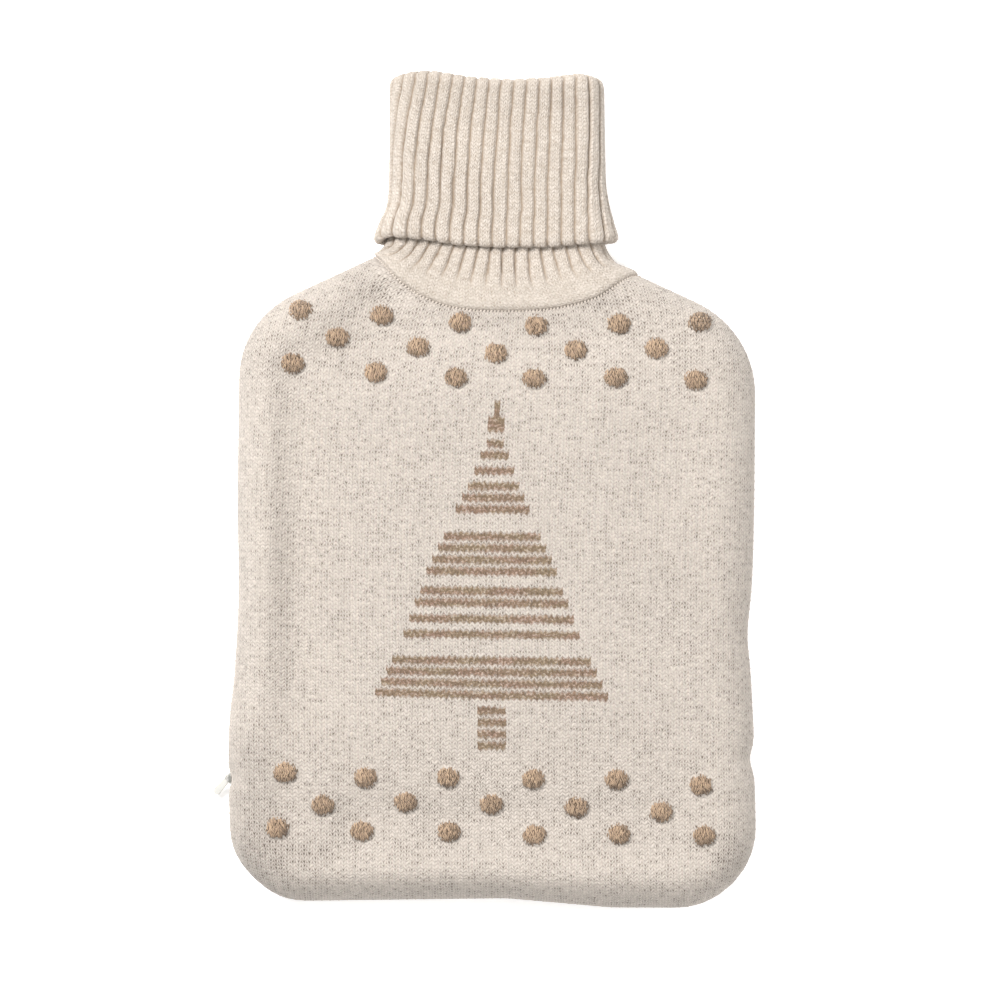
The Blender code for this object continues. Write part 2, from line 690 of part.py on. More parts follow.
def zip_chain(material):
    """The closed zip: its tape behind the cloth, its coil in the slot between the panels."""
    section = np.array(
        [
            (-TAPE_HALF_WIDTH, TAPE_DEPTH),
            (-TAPE_HALF_WIDTH, TAPE_DEPTH + TAPE_THICKNESS),
            (TAPE_HALF_WIDTH, TAPE_DEPTH + TAPE_THICKNESS),
            (TAPE_HALF_WIDTH, TAPE_DEPTH),
            (COIL_HALF_BASE, TAPE_DEPTH),
            (COIL_HALF_FACE, COIL_DEPTH),
            (-COIL_HALF_FACE, COIL_DEPTH),
            (-COIL_HALF_BASE, TAPE_DEPTH),
        ]
    )
    left, right = (at_lengths(OUTLINE_LOOP, [place])[0] for place in crossings(zip_line))
    path = line_between(zip_line, left, right, ZIP_STEP)
    path = path[inset(path)[0] > ZIP_END_INSET]
    rings = [on_form(place + np.outer(section[:, 0], (0.0, 1.0)), -1, section[:, 1]) for place in path]
    count = len(section)
    faces = [tuple(range(count)), tuple(reversed(range(count * (len(rings) - 1), count * len(rings))))]
    for ring in range(len(rings) - 1):
        for corner in range(count):
            after = (corner + 1) % count
            here, ahead = ring * count, (ring + 1) * count
            faces.append((here + after, here + corner, ahead + corner, ahead + after))
    return solid("zip_chain", np.vstack(rings), faces, material)


def slider_axes():
    """The slider's seat on the cloth's outer face, and its axes: along the zip, across and out."""
    x = ZIP_LEFT[0] + EDGE_ROUND * SLIDER_TURN / 90
    places = [(x + shift, zip_line(x)) for shift in (0.0, -SLIDER_PROBE, SLIDER_PROBE)]
    seat, up_side, down_side = on_form(places, -1)
    along = unit(up_side - down_side)
    across = np.array([0.0, 1.0, 0.0])
    return seat, along, across, unit(np.cross(along, across))


def extruded(name, outline, low, high, seat, axes, material):
    """A flat outline along the first two axes made into a solid between two heights on the third."""
    flat = np.array(outline, float)
    count = len(flat)
    faces = [tuple(range(count)), tuple(reversed(range(count, 2 * count)))]
    for index in range(count):
        after = (index + 1) % count
        faces.append((index, after, after + count, index + count))
    local = np.vstack([np.column_stack([flat, np.full(count, height)]) for height in (low, high)])
    return solid(name, seat + local @ np.array(axes), faces, material)


def reshaped(base, tool, operation):
    """Fuses a helper solid into the base, or cuts it out."""
    tool.hide_render = True
    tool.display_type = "WIRE"
    change = base.modifiers.new(operation.lower(), "BOOLEAN")
    change.operation = operation
    change.solver = "EXACT"
    change.object = tool
    return base


def zip_slider(material):
    """The slider: a plate over the coil, and an arch that carries the pull."""
    seat, along, across, out = slider_axes()
    half, nose, tail = SLIDER_LENGTH / 2, SLIDER_WIDTH / 2, SLIDER_TAIL_WIDTH / 2
    side = [
        (half, nose - SLIDER_CHAMFER),
        (half - SLIDER_CHAMFER, nose),
        (SLIDER_SHOULDER, nose),
        (-half, tail),
    ]
    plate = side + [(x, -y) for x, y in reversed(side)]
    body = extruded("zip_slider", plate, SLIDER_LOW, SLIDER_HIGH, seat, (along, across, out), material)
    arch_axes = (along, out, across)
    legs = extruded("zip_slider_arch", ARCH, -ARCH_WIDTH / 2, ARCH_WIDTH / 2, seat, arch_axes, material)
    return reshaped(body, legs, "UNION")


def zip_pull(material):
    """The pull: a flat tab with a ring round the slider's arch, hanging over the side."""
    seat, along, across, out = slider_axes()
    bar = seat + out * ARCH_BAR_OUT
    swing = math.radians(PULL_SWING)
    down = out * math.cos(swing) - across * math.sin(swing)
    axes = (down, unit(np.cross(along, down)), along)
    ring = np.radians(np.linspace(PULL_RING_OPENS, 360.0 - PULL_RING_OPENS, 15))
    tip = np.radians(np.linspace(-90.0, 90.0, 7))
    shoulder = PULL_LENGTH - PULL_HALF_WIDTH
    outline = np.vstack(
        [
            PULL_RING * np.column_stack([np.cos(ring), np.sin(ring)]),
            PULL_HALF_WIDTH * np.column_stack([np.cos(tip), np.sin(tip)]) + (shoulder, 0.0),
        ]
    )
    half = PULL_THICKNESS / 2
    tab = extruded("zip_pull", outline, -half, half, bar, axes, material)
    turns = np.radians(np.arange(0.0, 360.0, 30.0))
    hole = PULL_HOLE * np.column_stack([np.cos(turns), np.sin(turns)])
    cutter = extruded("zip_pull_hole", hole, -2 * half, 2 * half, bar, axes, material)
    return reshaped(tab, cutter, "DIFFERENCE")


# ---- objects and materials ---------------------------------------------------------------------


def plain_material(name, colour, roughness, metallic=0.0):
    material = bpy.data.materials.new(name)
    material.use_nodes = True
    shader = material.node_tree.nodes["Principled BSDF"]
    shader.inputs["Base Color"].default_value = (*colour, 1.0)
    shader.inputs["Roughness"].default_value = roughness
    shader.inputs["Metallic"].default_value = metallic
    return material


def solid(name, points, faces, material):
    """A closed mesh object in the scene, from points in millimetres."""
    mesh = bpy.data.meshes.new(name)
    mesh.from_pydata([tuple(point) for point in points * MM], [], faces)
    shape = bmesh.new()
    shape.from_mesh(mesh)
    bmesh.ops.recalc_face_normals(shape, faces=shape.faces)
    if shape.calc_volume(signed=True) < 0:
        bmesh.ops.reverse_faces(shape, faces=shape.faces)
    shape.to_mesh(mesh)
    shape.free()
    mesh.materials.append(material)
    mesh.shade_smooth()
    mesh.set_sharp_from_angle(angle=math.radians(SHARP_ANGLE))
    made = bpy.data.objects.new(name, mesh)
    bpy.context.scene.collection.objects.link(made)
    return made


def clear_scene():
    for existing in list(bpy.data.objects):
        bpy.data.objects.remove(existing, do_unlink=True)


def main():
    clear_scene()
    knit = plain_material("cream_knit", CREAM, 0.92)
    rib = plain_material("cream_rib", RIB_CREAM, 0.92)
    panel("front_panel", front_boundary(), 1, knit, dotted)
    above, below = back_boundaries()
    panel("back_panel_upper", above, -1, knit)
    panel("back_panel_lower", below, -1, knit)
    collar(rib)
    zip_chain(plain_material("zip_tape", TAPE_WHITE, 0.7))
    zip_slider(plain_material("zip_slider", SLIDER_GREY, 0.4, 0.7))
    zip_pull(plain_material("zip_pull", PULL_WHITE, 0.35))


main()
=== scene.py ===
"""The looks of a knitted hot water bottle cover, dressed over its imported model.

The cover lies on its back on the plane Z = 0, X across it, Y from its foot to the top of its
collar, Z up out of its face. Sizes here are in millimetres, and each mesh is made in metres.
"""

import logging
import math
from dataclasses import dataclass, field
from enum import Enum, IntEnum
from typing import Any, Callable, NamedTuple

import bmesh
import bpy
import numpy as np
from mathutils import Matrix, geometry


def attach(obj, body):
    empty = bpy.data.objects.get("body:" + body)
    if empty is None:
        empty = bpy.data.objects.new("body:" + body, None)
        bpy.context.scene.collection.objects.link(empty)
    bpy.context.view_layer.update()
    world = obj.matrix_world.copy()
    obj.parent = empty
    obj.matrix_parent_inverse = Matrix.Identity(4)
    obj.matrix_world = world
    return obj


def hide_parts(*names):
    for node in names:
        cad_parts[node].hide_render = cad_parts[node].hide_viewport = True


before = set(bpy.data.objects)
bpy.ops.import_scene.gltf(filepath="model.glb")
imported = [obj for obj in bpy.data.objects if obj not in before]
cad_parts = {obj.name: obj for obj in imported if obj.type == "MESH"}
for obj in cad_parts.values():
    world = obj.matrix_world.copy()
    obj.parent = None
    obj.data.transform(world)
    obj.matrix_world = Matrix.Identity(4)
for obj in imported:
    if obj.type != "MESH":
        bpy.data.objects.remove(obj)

log = logging.getLogger("bottle_cover")

Array = np.ndarray
Colour = tuple[float, float, float]
Pair = tuple[float, float]
Line = Callable[[Array], Array]
Piece = bpy.types.Object
Material = bpy.types.Material

MM = 0.001
BODY = "root"
STITCH_MAP = "Stitches"  # a UV map in stitches: wales across, courses up
DOT_SHARE = "DotShare"  # an attribute: 1 on a raised dot, 0 on the ground
OPENNESS_AND_SHADE = "Openness"  # an attribute: 1 where the knitting is stretched open, which also carries painted shade beside the neck
RIBBING = "Ribbing"  # an attribute: 1 where the collar is ribbed, 0 where it is smooth
ALONG, OUT, SHADE = "Along", "Out", "Shade"  # attributes of small yarn pieces
CHUNK = 2000  # points that are measured together
ON_LINE = 0.05  # a point nearer to a line than this takes the line's own side

CLOTH = 2.4  # thickness of the plain knit
GAP = 0.3  # between pieces that touch
SEAM_GAP = 0.55  # the same, measured down the slanting neckline
WALE = 2.26  # width of a stitch
COURSE = 1.54  # height of a stitch


def rows(kind: Callable[..., Any], *values: tuple[float, ...]) -> tuple[Any, ...]:
    """A record of one kind from each row of numbers."""
    return tuple(kind(*row) for row in values)


def smooth(share: Array | float) -> Array:
    """A share from 0 to 1, eased at both ends."""
    share = np.clip(share, 0.0, 1.0)
    return share * share * (3.0 - 2.0 * share)


def unit(vectors: Array) -> Array:
    """The vectors at length 1."""
    return vectors / np.linalg.norm(vectors, axis=-1, keepdims=True)


def to_left(ways: Array) -> Array:
    """Flat directions, turned a quarter to their left."""
    return np.stack([-ways[:, 1], ways[:, 0]], axis=1)


def lengths_along(points: Array) -> Array:
    """The distance from the first point to each, along the line through them."""
    return np.concatenate([[0.0], np.cumsum(np.linalg.norm(np.diff(points, axis=0), axis=1))])


def at_lengths(points: Array, wanted: Array, along: Array | None = None) -> Array:
    """Points at the wanted distances along the line through the given points."""
    along = lengths_along(points) if along is None else along
    return np.stack([np.interp(wanted, along, column) for column in points.T], axis=1)


def evenly(points: Array, spacing: float) -> Array:
    """The line through the points, cut into even steps of about the spacing, ends kept."""
    total = lengths_along(points)[-1]
    return at_lengths(points, np.linspace(0.0, total, max(2, round(total / spacing)) + 1))


def nearest_on(line: Array, points: Array) -> tuple[Array, Array]:
    """How near each point is to a closed line, and the way there.

    Args:
        line: the closed line's corners, anticlockwise.
        points: flat points.

    Returns:
        Each point's distance from the line, and the unit direction from the line to the point.
    """
    run = np.roll(line, -1, axis=0) - line
    square = unit(to_left(run))
    distances, ways = [], []
    for part in np.array_split(points, max(1, len(points) // CHUNK)):
        from_start = part[:, None] - line
        share = np.clip((from_start * run).sum(2) / (run**2).sum(1), 0.0, 1.0)
        away = from_start - share[..., None] * run
        reach = np.linalg.norm(away, axis=2)
        nearest = reach.argmin(axis=1)
        each = np.arange(len(part))
        distance = reach[each, nearest]
        distances.append(distance)
        ways.append(unit(np.where(distance[:, None] > ON_LINE, away[each, nearest], square[nearest])))
    return np.concatenate(distances), np.vstack(ways)


def inside(points: Array, boundary: Array, margin: float) -> Array:
    """Which points lie inside a closed line, clear of it.

    Args:
        points: flat points.
        boundary: the line's corners.
        margin: the least distance from the line.

    Returns:
        True for each point that does.
    """
    ends = np.roll(boundary, -1, axis=0)
    rise = np.where(ends[:, 1] == boundary[:, 1], 1.0, ends[:, 1] - boundary[:, 1])
    odd = []
    for part in np.array_split(points, max(1, len(points) // CHUNK)):
        x, y = part[:, :1], part[:, 1:]
        spans = (boundary[:, 1] > y) != (ends[:, 1] > y)
        crossing = boundary[:, 0] + (y - boundary[:, 1]) * (ends[:, 0] - boundary[:, 0]) / rise
        odd.append((spans & (x < crossing)).sum(axis=1) % 2 == 1)
    return np.concatenate(odd) & (nearest_on(boundary, points)[0] > margin)


def soft_noise(points: Array, size: float, seed: int) -> Array:
    """Smooth noise over flat points.

    Args:
        points: the points.
        size: how large its lumps are.
        seed: the seed.

    Returns:
        A value from -1 to 1 for each point.
    """
    cells = 64
    table = np.random.default_rng(seed).uniform(-1.0, 1.0, (cells, cells))
    place = points / size + 1000.0  # kept above zero
    cell = np.floor(place).astype(int)
    share = smooth(place - cell)
    total = np.zeros(len(points))
    for dx, dy in ((0, 0), (0, 1), (1, 0), (1, 1)):
        weight = np.abs(1 - dx - share[:, 0]) * np.abs(1 - dy - share[:, 1])
        total += weight * table[(cell[:, 0] + dx) % cells, (cell[:, 1] + dy) % cells]
    return total


def bridge(start: Array, end: Array, leave: Array, arrive: Array, share: float) -> Array:
    """A place on a smooth curve.

    Args:
        start: where the curve starts.
        end: where it ends.
        leave: its direction at the start.
        arrive: its direction at the end.
        share: the share of the way.

    Returns:
        The place.
    """
    square, cube = share**2, share**3
    row = start * (2 * cube - 3 * square + 1) + end * (3 * square - 2 * cube)
    return row + leave * (cube - 2 * square + share) + arrive * (cube - square)


# ---- the form


class Side(IntEnum):
    """Which of the cover's two faces a cloth lies on."""

    FRONT = 1
    BACK = -1


class Corner(NamedTuple):
    """A corner of the outline, rounded by an arc."""

    x: float
    y: float
    radius: float


class Dent(NamedTuple):
    """A place where the outline is pulled in, or bulges where its depth is below zero."""

    x: float
    y: float
    depth: float
    reach: float


class Swell(NamedTuple):
    """A soft puff of a face, or a hollow where its rise is below zero."""

    x: float
    y: float
    rise: float
    reach_x: float
    reach_y: float

    def at(self, points: Array) -> Array:
        """Its rise at points."""
        away_x, away_y = (points[..., 0] - self.x) / self.reach_x, (points[..., 1] - self.y) / self.reach_y
        return self.rise * np.exp(-(away_x**2 + away_y**2))


class Crease(NamedTuple):
    """A soft ridge of the face from one place to another, or a trough below zero."""

    x: float
    y: float
    end_x: float
    end_y: float
    rise: float
    width: float

    def at(self, points: Array) -> Array:
        """Its rise, fading towards its ends.

        Args:
            points: flat points.

        Returns:
            The rise at each.
        """
        start = np.array([self.x, self.y])
        run = np.array([self.end_x, self.end_y]) - start
        share = np.clip((points - start) @ run / (run @ run), 0.0, 1.0)
        away = np.linalg.norm(points - start - share[:, None] * run, axis=1)
        return self.rise * np.exp(-((away / self.width) ** 2)) * np.sin(math.pi * (0.1 + 0.8 * share))


@dataclass
class Outline:
    """The cover's outline seen from above, up to a neck that the collar hides."""

    corners: tuple[Corner, ...] = rows(
        Corner,
        (49, 130, 0), (-41, 130, 0), (-41, 95.5, 6), (-99, 68.5, 37), (-99, -60, 60),
        (-103.4, -113, 30), (-101.8, -164.7, 30), (8, -163.3, 60), (50, -167, 40),
        (109, -167.2, 32), (107.2, -97, 40), (104.9, -60, 80), (108.2, 64.4, 40), (49, 92, 4),
    )
    dents: tuple[Dent, ...] = rows(
        Dent,
        (106.8, -107.5, 1.8, 5), (105, -56, 0.9, 12), (105.5, -20, -1.3, 55), (-98.5, -2, -0.6, 30),
        (-99.5, -62, -0.9, 14), (-102.5, -91, -1.2, 15), (-103.6, -115.3, 1.6, 3.5),
        (-94, -157, 0.9, 12), (99, -159, 0.2, 12),
    )
    step: float = 2.0
    arc_points: int = 9
    loop: Array = field(init=False)
    along: Array = field(init=False)

    def __post_init__(self) -> None:
        """Draws the outline once for all the pieces."""
        line = self._rounded()
        line = evenly(np.vstack([line, line[:1]]), self.step)[:-1]
        inward = unit(to_left(np.roll(line, -1, axis=0) - np.roll(line, 1, axis=0)))
        push = np.zeros(len(line))
        for dent in self.dents:
            away = np.linalg.norm(line - (dent.x, dent.y), axis=1)
            push += dent.depth * np.exp(-((away / dent.reach) ** 2))
        line = line + inward * push[:, None]
        self.loop = np.vstack([line, line[:1]])
        self.along = lengths_along(self.loop)

    def _rounded(self) -> Array:
        """The outline through the corners, each rounded by its arc.

        Returns:
            Its points.
        """
        places = np.array([corner[:2] for corner in self.corners])
        line = []
        for index, corner in enumerate(self.corners):
            here = places[index]
            if not corner.radius:
                line.append(here)
                continue
            back = unit(places[index - 1] - here)
            ahead = unit(places[(index + 1) % len(places)] - here)
            bend = math.acos(np.clip(back @ ahead, -1.0, 1.0))
            reach = corner.radius / math.tan(bend / 2)
            centre = here + unit(back + ahead) * corner.radius / math.sin(bend / 2)
            first, last = (here + way * reach - centre for way in (back, ahead))
            for share in np.linspace(0.0, 1.0, self.arc_points):
                line.append(centre + unit(first * (1 - share) + last * share) * corner.radius)
        return np.array(line)

    def inset(self, flat: Array) -> tuple[Array, Array]:
        """How far each flat point is inside the outline, and the way straight in from its edge."""
        return nearest_on(self.loop[:-1], flat)

    def crossings(self, line: Line) -> list[float]:
        """Where the outline crosses a line y(x) on its way down the left side and up the right.

        Args:
            line: the line, as its Y at each X.

        Returns:
            The two distances along the outline.
        """
        above = self.loop[:, 1] - line(self.loop[:, 0])
        places = []
        for side in (-1, 1):
            flips = (above[:-1] * side < 0) & (above[1:] * side >= 0) & (self.loop[:-1, 0] * side > 0)
            index = int(np.flatnonzero(flips)[0])
            share = above[index] / (above[index] - above[index + 1])
            places.append(self.along[index] + share * (self.along[index + 1] - self.along[index]))
        return places

    def between(self, start: float, end: float, spacing: float) -> Array:
        """The outline from one distance along it to another, in even steps."""
        steps = max(2, round((end - start) / spacing))
        return at_lengths(self.loop, np.linspace(start, end, steps + 1))


@dataclass
class Form:
    """The cover's outer face: flat points are rolled down its rounded sides on to it."""

    outline: Outline
    body_half_depth: float = 17.0
    neck_half_depth: float = 9.8
    neck_seam_height: float = 12.0
    neck_slope: Pair = (50.0, 98.0)
    edge_round: float = 15.0
    side_length: float = 0.675  # cloth that the rounded side takes up beyond its flat width
    side_fineness: float = 3.0
    crown: float = 2.0
    crown_reach: float = 60.0
    line_samples: int = 800
    swells: tuple[Swell, ...] = rows(
        Swell,
        (0, 58, -2.6, 90, 13.5), (-56, 57, -2, 32, 13.5), (30, 58, -1.2, 26, 13), (84, 20, -0.5, 8, 60),
        (-45, -155, 3.8, 50, 9), (50, -156, 3.8, 52, 9), (0, -129, -1.4, 85, 8),
        (-84, -124, -0.6, 10, 14), (64, -10, -0.5, 10, 14), (88, -30, 0.9, 12, 60),
        (-50, 30, 0.3, 18, 12), (-4, -44, -0.3, 26, 20),
    )
    creases: tuple[Crease, ...] = rows(
        Crease,
        (-34, 86, -98, 55, 4.4, 13), (-34, 82, -58, 70, -2.2, 6), (46, 82, 62, 73, -1.8, 6),
        (-87.5, 60, -88, -112, 4.2, 8.5), (-76, 48, -76.5, -98, -2, 9), (44, 88, 102, 52, 3.2, 12),
        (-84, -104, -70, -142, -0.6, 6), (-20, 67, 34, 64, -0.9, 5), (88, -60, 90, -128, -0.6, 5),
    )
    unevenness: tuple[tuple[float, float, int], ...] = ((0.3, 26.0, 3), (0.16, 9.0, 4), (0.05, 3.5, 5))

    def depths(self, y: Array) -> tuple[Array, Array]:
        """The form's depth.

        Args:
            y: places up the cover.

        Returns:
            Half the depth at each, and the height of the side seam.
        """
        start, end = self.neck_slope
        share = smooth((y - start) / (end - start))
        half = self.body_half_depth + (self.neck_half_depth - self.body_half_depth) * share
        seam = self.body_half_depth + (self.neck_seam_height - self.body_half_depth) * share
        return half, seam

    def swollen(self, plan: Array, distance: Array) -> Array:
        """How far the front stands above its flat depth.

        Args:
            plan: places seen from above.
            distance: how far each is inside the outline.

        Returns:
            The rise of its crown, swells, creases and unevenness.
        """
        rise = self.crown * smooth((distance - self.edge_round) / self.crown_reach)
        for bump in (*self.swells, *self.creases):
            rise += bump.at(plan)
        uneven = sum(depth * soft_noise(plan, size, seed) for depth, size, seed in self.unevenness)
        return rise + smooth(distance / self.edge_round) * uneven

    def lay(self, flat: Array, side: Side, depth: Array | float = 0.0) -> Array:
        """Points of the form over flat ones.

        Args:
            flat: flat points inside the outline; the outline itself lands on the side seam.
            side: the face to lay them on.
            depth: how far in from the face each goes.

        Returns:
            The places in space.
        """
        flat = np.asarray(flat, float)
        distance, inward = self.outline.inset(flat)
        turn = np.minimum(distance / self.edge_round, 1.0) * math.pi / 2
        across = np.where(distance < self.edge_round, self.edge_round * (1 - np.cos(turn)), distance)
        plan = flat + inward * (across - distance)[:, None]
        half, seam = self.depths(plan[:, 1])
        rise = half - GAP / 2
        if side == Side.FRONT:
            rise = rise + self.swollen(plan, distance)
        height = seam + side * (GAP / 2 + rise * np.sin(turn))
        slope = unit(np.stack([half * np.cos(turn), self.edge_round * np.sin(turn)], axis=1))
        normal = np.column_stack([-inward * slope[:, :1], side * slope[:, 1]])
        return np.column_stack([plan, height]) - np.reshape(depth, (-1, 1)) * normal

    def unrolled(self, plan: Array) -> Array:
        """The flat points that land at some places.

        Args:
            plan: the places, seen from above.

        Returns:
            The flat points.
        """
        distance, inward = self.outline.inset(plan)
        turn = np.arccos(1 - np.minimum(distance / self.edge_round, 1.0))
        rolled = self.edge_round * turn / (math.pi / 2)
        flat_distance = np.where(distance < self.edge_round, rolled, distance)
        return plan + inward * (flat_distance - distance)[:, None]

    def ends(self, line: Line) -> Array:
        """Where a line y(x) meets the outline, at the left and at the right."""
        return at_lengths(self.outline.loop, np.array(self.outline.crossings(line)))

    def line_between(self, line: Line, start: Array, end: Array, spacing: float) -> Array:
        """The line y(x) between two of its points, without them, closing up at the sides.

        Args:
            line: the line, as its Y at each X.
            start: its first point.
            end: its last point.
            spacing: the step on the flat middle.

        Returns:
            The points in order.
        """
        xs = np.linspace(start[0], end[0], self.line_samples)
        fine = np.column_stack([xs, line(xs)])
        fine[0], fine[-1] = start, end
        steps = np.linalg.norm(np.diff(fine, axis=0), axis=1)
        steps[self.outline.inset(fine[1:])[0] < self.edge_round] *= self.side_fineness
        along = np.concatenate([[0.0], np.cumsum(steps)])
        wanted = np.linspace(0.0, along[-1], max(2, round(along[-1] / spacing)) + 1)[1:-1]
        return at_lengths(fine, wanted, along)


def risen(low: float, at: Array, left: float, left_power: float, right: float, right_power: float) -> Array:
    """A low value, raised to the left and the right of the middle of places from -1 to 1."""
    at_left = left * np.maximum(-at, 0.0) ** left_power
    return low + at_left + right * np.maximum(at, 0.0) ** right_power


@dataclass(frozen=True)
class Neckline:
    """A line round the foot of the neck: over the front, and back under the rear."""

    centre_x: float
    half_width: float
    front_y: float
    left_rise: float
    left_power: float
    right_rise: float
    right_power: float
    back_y: float
    back_power: float = 3.0

    def front(self, x: Array) -> Array:
        """Its Y over the front."""
        share = (x - self.centre_x) / self.half_width
        return risen(self.front_y, share, self.left_rise, self.left_power, self.right_rise, self.right_power)

    def back(self, left: Array, right: Array) -> Line:
        """Its scoop under the rear.

        Args:
            left: the left end of the front's line.
            right: its right end.

        Returns:
            The line y(x).
        """
        low, power = self.back_y, self.back_power

        def height(x: Array) -> Array:
            """Its Y under the rear."""
            share = 2 * (x - left[0]) / (right[0] - left[0]) - 1
            return risen(low, share, left[1] - low, power, right[1] - low, power)

        return height


SEAM_LINE = Neckline(8.0, 52.0, 71.8, 22.0, 3.0, 14.0, 2.6, 83.0)
RIB_END_LINE = Neckline(5.0, 47.0, 81.6, 13.3, 1.9, 9.0, 1.9, 90.5)


def lowered(line: Line, drop: float) -> Line:
    """The line y(x) moved down."""
    return lambda x: line(x) - drop


# ---- node trees


class Link:
    """A socket of a node tree that arithmetic can be written with."""

    def __init__(self, bench: "Bench", socket: bpy.types.NodeSocket) -> None:
        """Wraps one output socket."""
        self.bench = bench
        self.socket = socket

    def math(self, operation: str, *others: Any, flip: bool = False) -> "Link":
        """A Math node on this value and others, or on both the other way round."""
        terms = [self, *others][:: -1 if flip else 1]
        return self.bench.make("ShaderNodeMath", {"operation": operation}, dict(enumerate(terms)))

    def __add__(self, other: Any) -> "Link":
        """Sum."""
        return self.math("ADD", other)

    def __sub__(self, other: Any) -> "Link":
        """Difference."""
        return self.math("SUBTRACT", other)

    def __rsub__(self, other: Any) -> "Link":
        """Difference, reflected."""
        return self.math("SUBTRACT", other, flip=True)

    def __mul__(self, other: Any) -> "Link":
        """Product."""
        return self.math("MULTIPLY", other)

    def __truediv__(self, other: Any) -> "Link":
        """Quotient."""
        return self.math("DIVIDE", other)

    def __pow__(self, other: Any) -> "Link":
        """Power."""
        return self.math("POWER", other)

    __radd__ = __add__
    __rmul__ = __mul__

    def at_least(self, low: float) -> "Link":
        """This value, or the low one where it is higher."""
        return self.math("MAXIMUM", low)

    def at_most(self, high: float) -> "Link":
        """This value, or the high one where it is lower."""
        return self.math("MINIMUM", high)

    def clipped(self, high: float = 1.0) -> "Link":
        """This value, kept between 0 and the high one."""
        return self.at_least(0.0).at_most(high)


class Bench:
    """A node tree, with a short way to add a node and link it."""

    def __init__(self, tree: bpy.types.NodeTree) -> None:
        """Takes the tree to work on."""
        self.tree = tree

    def make(
        self,
        kind: str,
        settings: dict[str, Any] | None = None,
        inputs: dict[int | str, Any] | None = None,
        output: int | str = 0,
    ) -> Link:
        """Adds a node.

        Args:
            kind: the node's type.
            settings: its own settings.
            inputs: the values or links of its sockets.
            output: the socket to give back.

        Returns:
            That output.
        """
        node = self.tree.nodes.new(kind)
        for name, value in (settings or {}).items():
            setattr(node, name, value)
        for name, value in (inputs or {}).items():
            self.feed(node.inputs[name], value)
        return Link(self, node.outputs[output])

    def feed(self, socket: bpy.types.NodeSocket, value: Any) -> None:
        """Feeds a socket.

        Args:
            socket: the socket.
            value: a value, or a link from another node.
        """
        if isinstance(value, Link):
            self.tree.links.new(value.socket, socket)
        else:
            socket.default_value = value


class Paint(Bench):
    """The nodes of one material."""

    def __init__(self, name: str, roughness: float, sheen: float = 0.0, metallic: float = 0.0) -> None:
        """Starts a material with what is the same all over it.

        Args:
            name: its name.
            roughness: its roughness.
            sheen: the weight of its soft fibre sheen.
            metallic: 1 on bare metal.
        """
        self.material = bpy.data.materials.new(name)
        self.material.use_nodes = True
        super().__init__(self.material.node_tree)
        self.shader = self.tree.nodes["Principled BSDF"]
        for label, value in (("Roughness", roughness), ("Sheen Weight", sheen), ("Metallic", metallic)):
            self.set(label, value)

    def set(self, label: str, value: Any) -> None:
        """Feeds one of the shader's sockets."""
        self.feed(self.shader.inputs[label], value)

    def mixed(self, share: Any, first: Any, second: Any, blend: str = "MIX") -> Link:
        """Two colours mixed by a share, or blended another way."""
        colours = {0: share, 6: self._full(first), 7: self._full(second)}
        return self.make("ShaderNodeMix", {"data_type": "RGBA", "blend_type": blend}, colours, 2)

    def dimmed(self, colour: Any, by: Any) -> Link:
        """A colour multiplied by a grey value."""
        grey = self.make("ShaderNodeCombineColor", {}, {0: by, 1: by, 2: by})
        return self.mixed(1.0, colour, grey, "MULTIPLY")

    @staticmethod
    def _full(colour: Any) -> Any:
        """A colour with its fourth number, or a link as it is."""
        return colour if isinstance(colour, Link) else (*colour, 1.0)

    def noise(self, place: Any, scale: float, detail: float = 2.0) -> Link:
        """Smooth noise about a half, at a scale."""
        inputs = {"Vector": place, "Scale": scale, "Detail": detail}
        return self.make("ShaderNodeTexNoise", {}, inputs, "Fac")

    def sway(self, place: Any, scale: float, detail: float, by: float) -> Link:
        """Smooth noise about zero, at a scale, most of it within half of by to each side."""
        return (self.noise(place, scale, detail) - 0.5) * by

    def point(self, x: Any, y: Any, z: Any = 0.0) -> Link:
        """A vector from three numbers."""
        return self.make("ShaderNodeCombineXYZ", {}, {0: x, 1: y, 2: z})

    def parts(self, place: Link, count: int) -> list[Link]:
        """A vector's first numbers."""
        return [self.make("ShaderNodeSeparateXYZ", {}, {0: place}, axis) for axis in range(count)]

    def attribute(self, label: str) -> Link:
        """A number that the mesh's points carry."""
        return self.make("ShaderNodeAttribute", {"attribute_name": label}, {}, "Fac")

    def here(self) -> Link:
        """The place on the object."""
        return self.make("ShaderNodeTexCoord", {}, {}, "Object")

    def stitches(self) -> list[Link]:
        """The place on the knitting, in wales and in courses."""
        return self.parts(self.make("ShaderNodeUVMap", {"uv_map": STITCH_MAP}), 2)

    def surface(self, colour: Any, height: Link, relief: float) -> Material:
        """Sets what the surface shows.

        Args:
            colour: its colour.
            height: its relief, from 0 to 1.
            relief: the depth of that relief.

        Returns:
            The finished material.
        """
        self.set("Base Color", colour)
        bumps = {"Strength": 1.0, "Distance": relief * MM, "Height": height}
        self.set("Normal", self.make("ShaderNodeBump", {}, bumps, "Normal"))
        return self.material


# ---- finishes


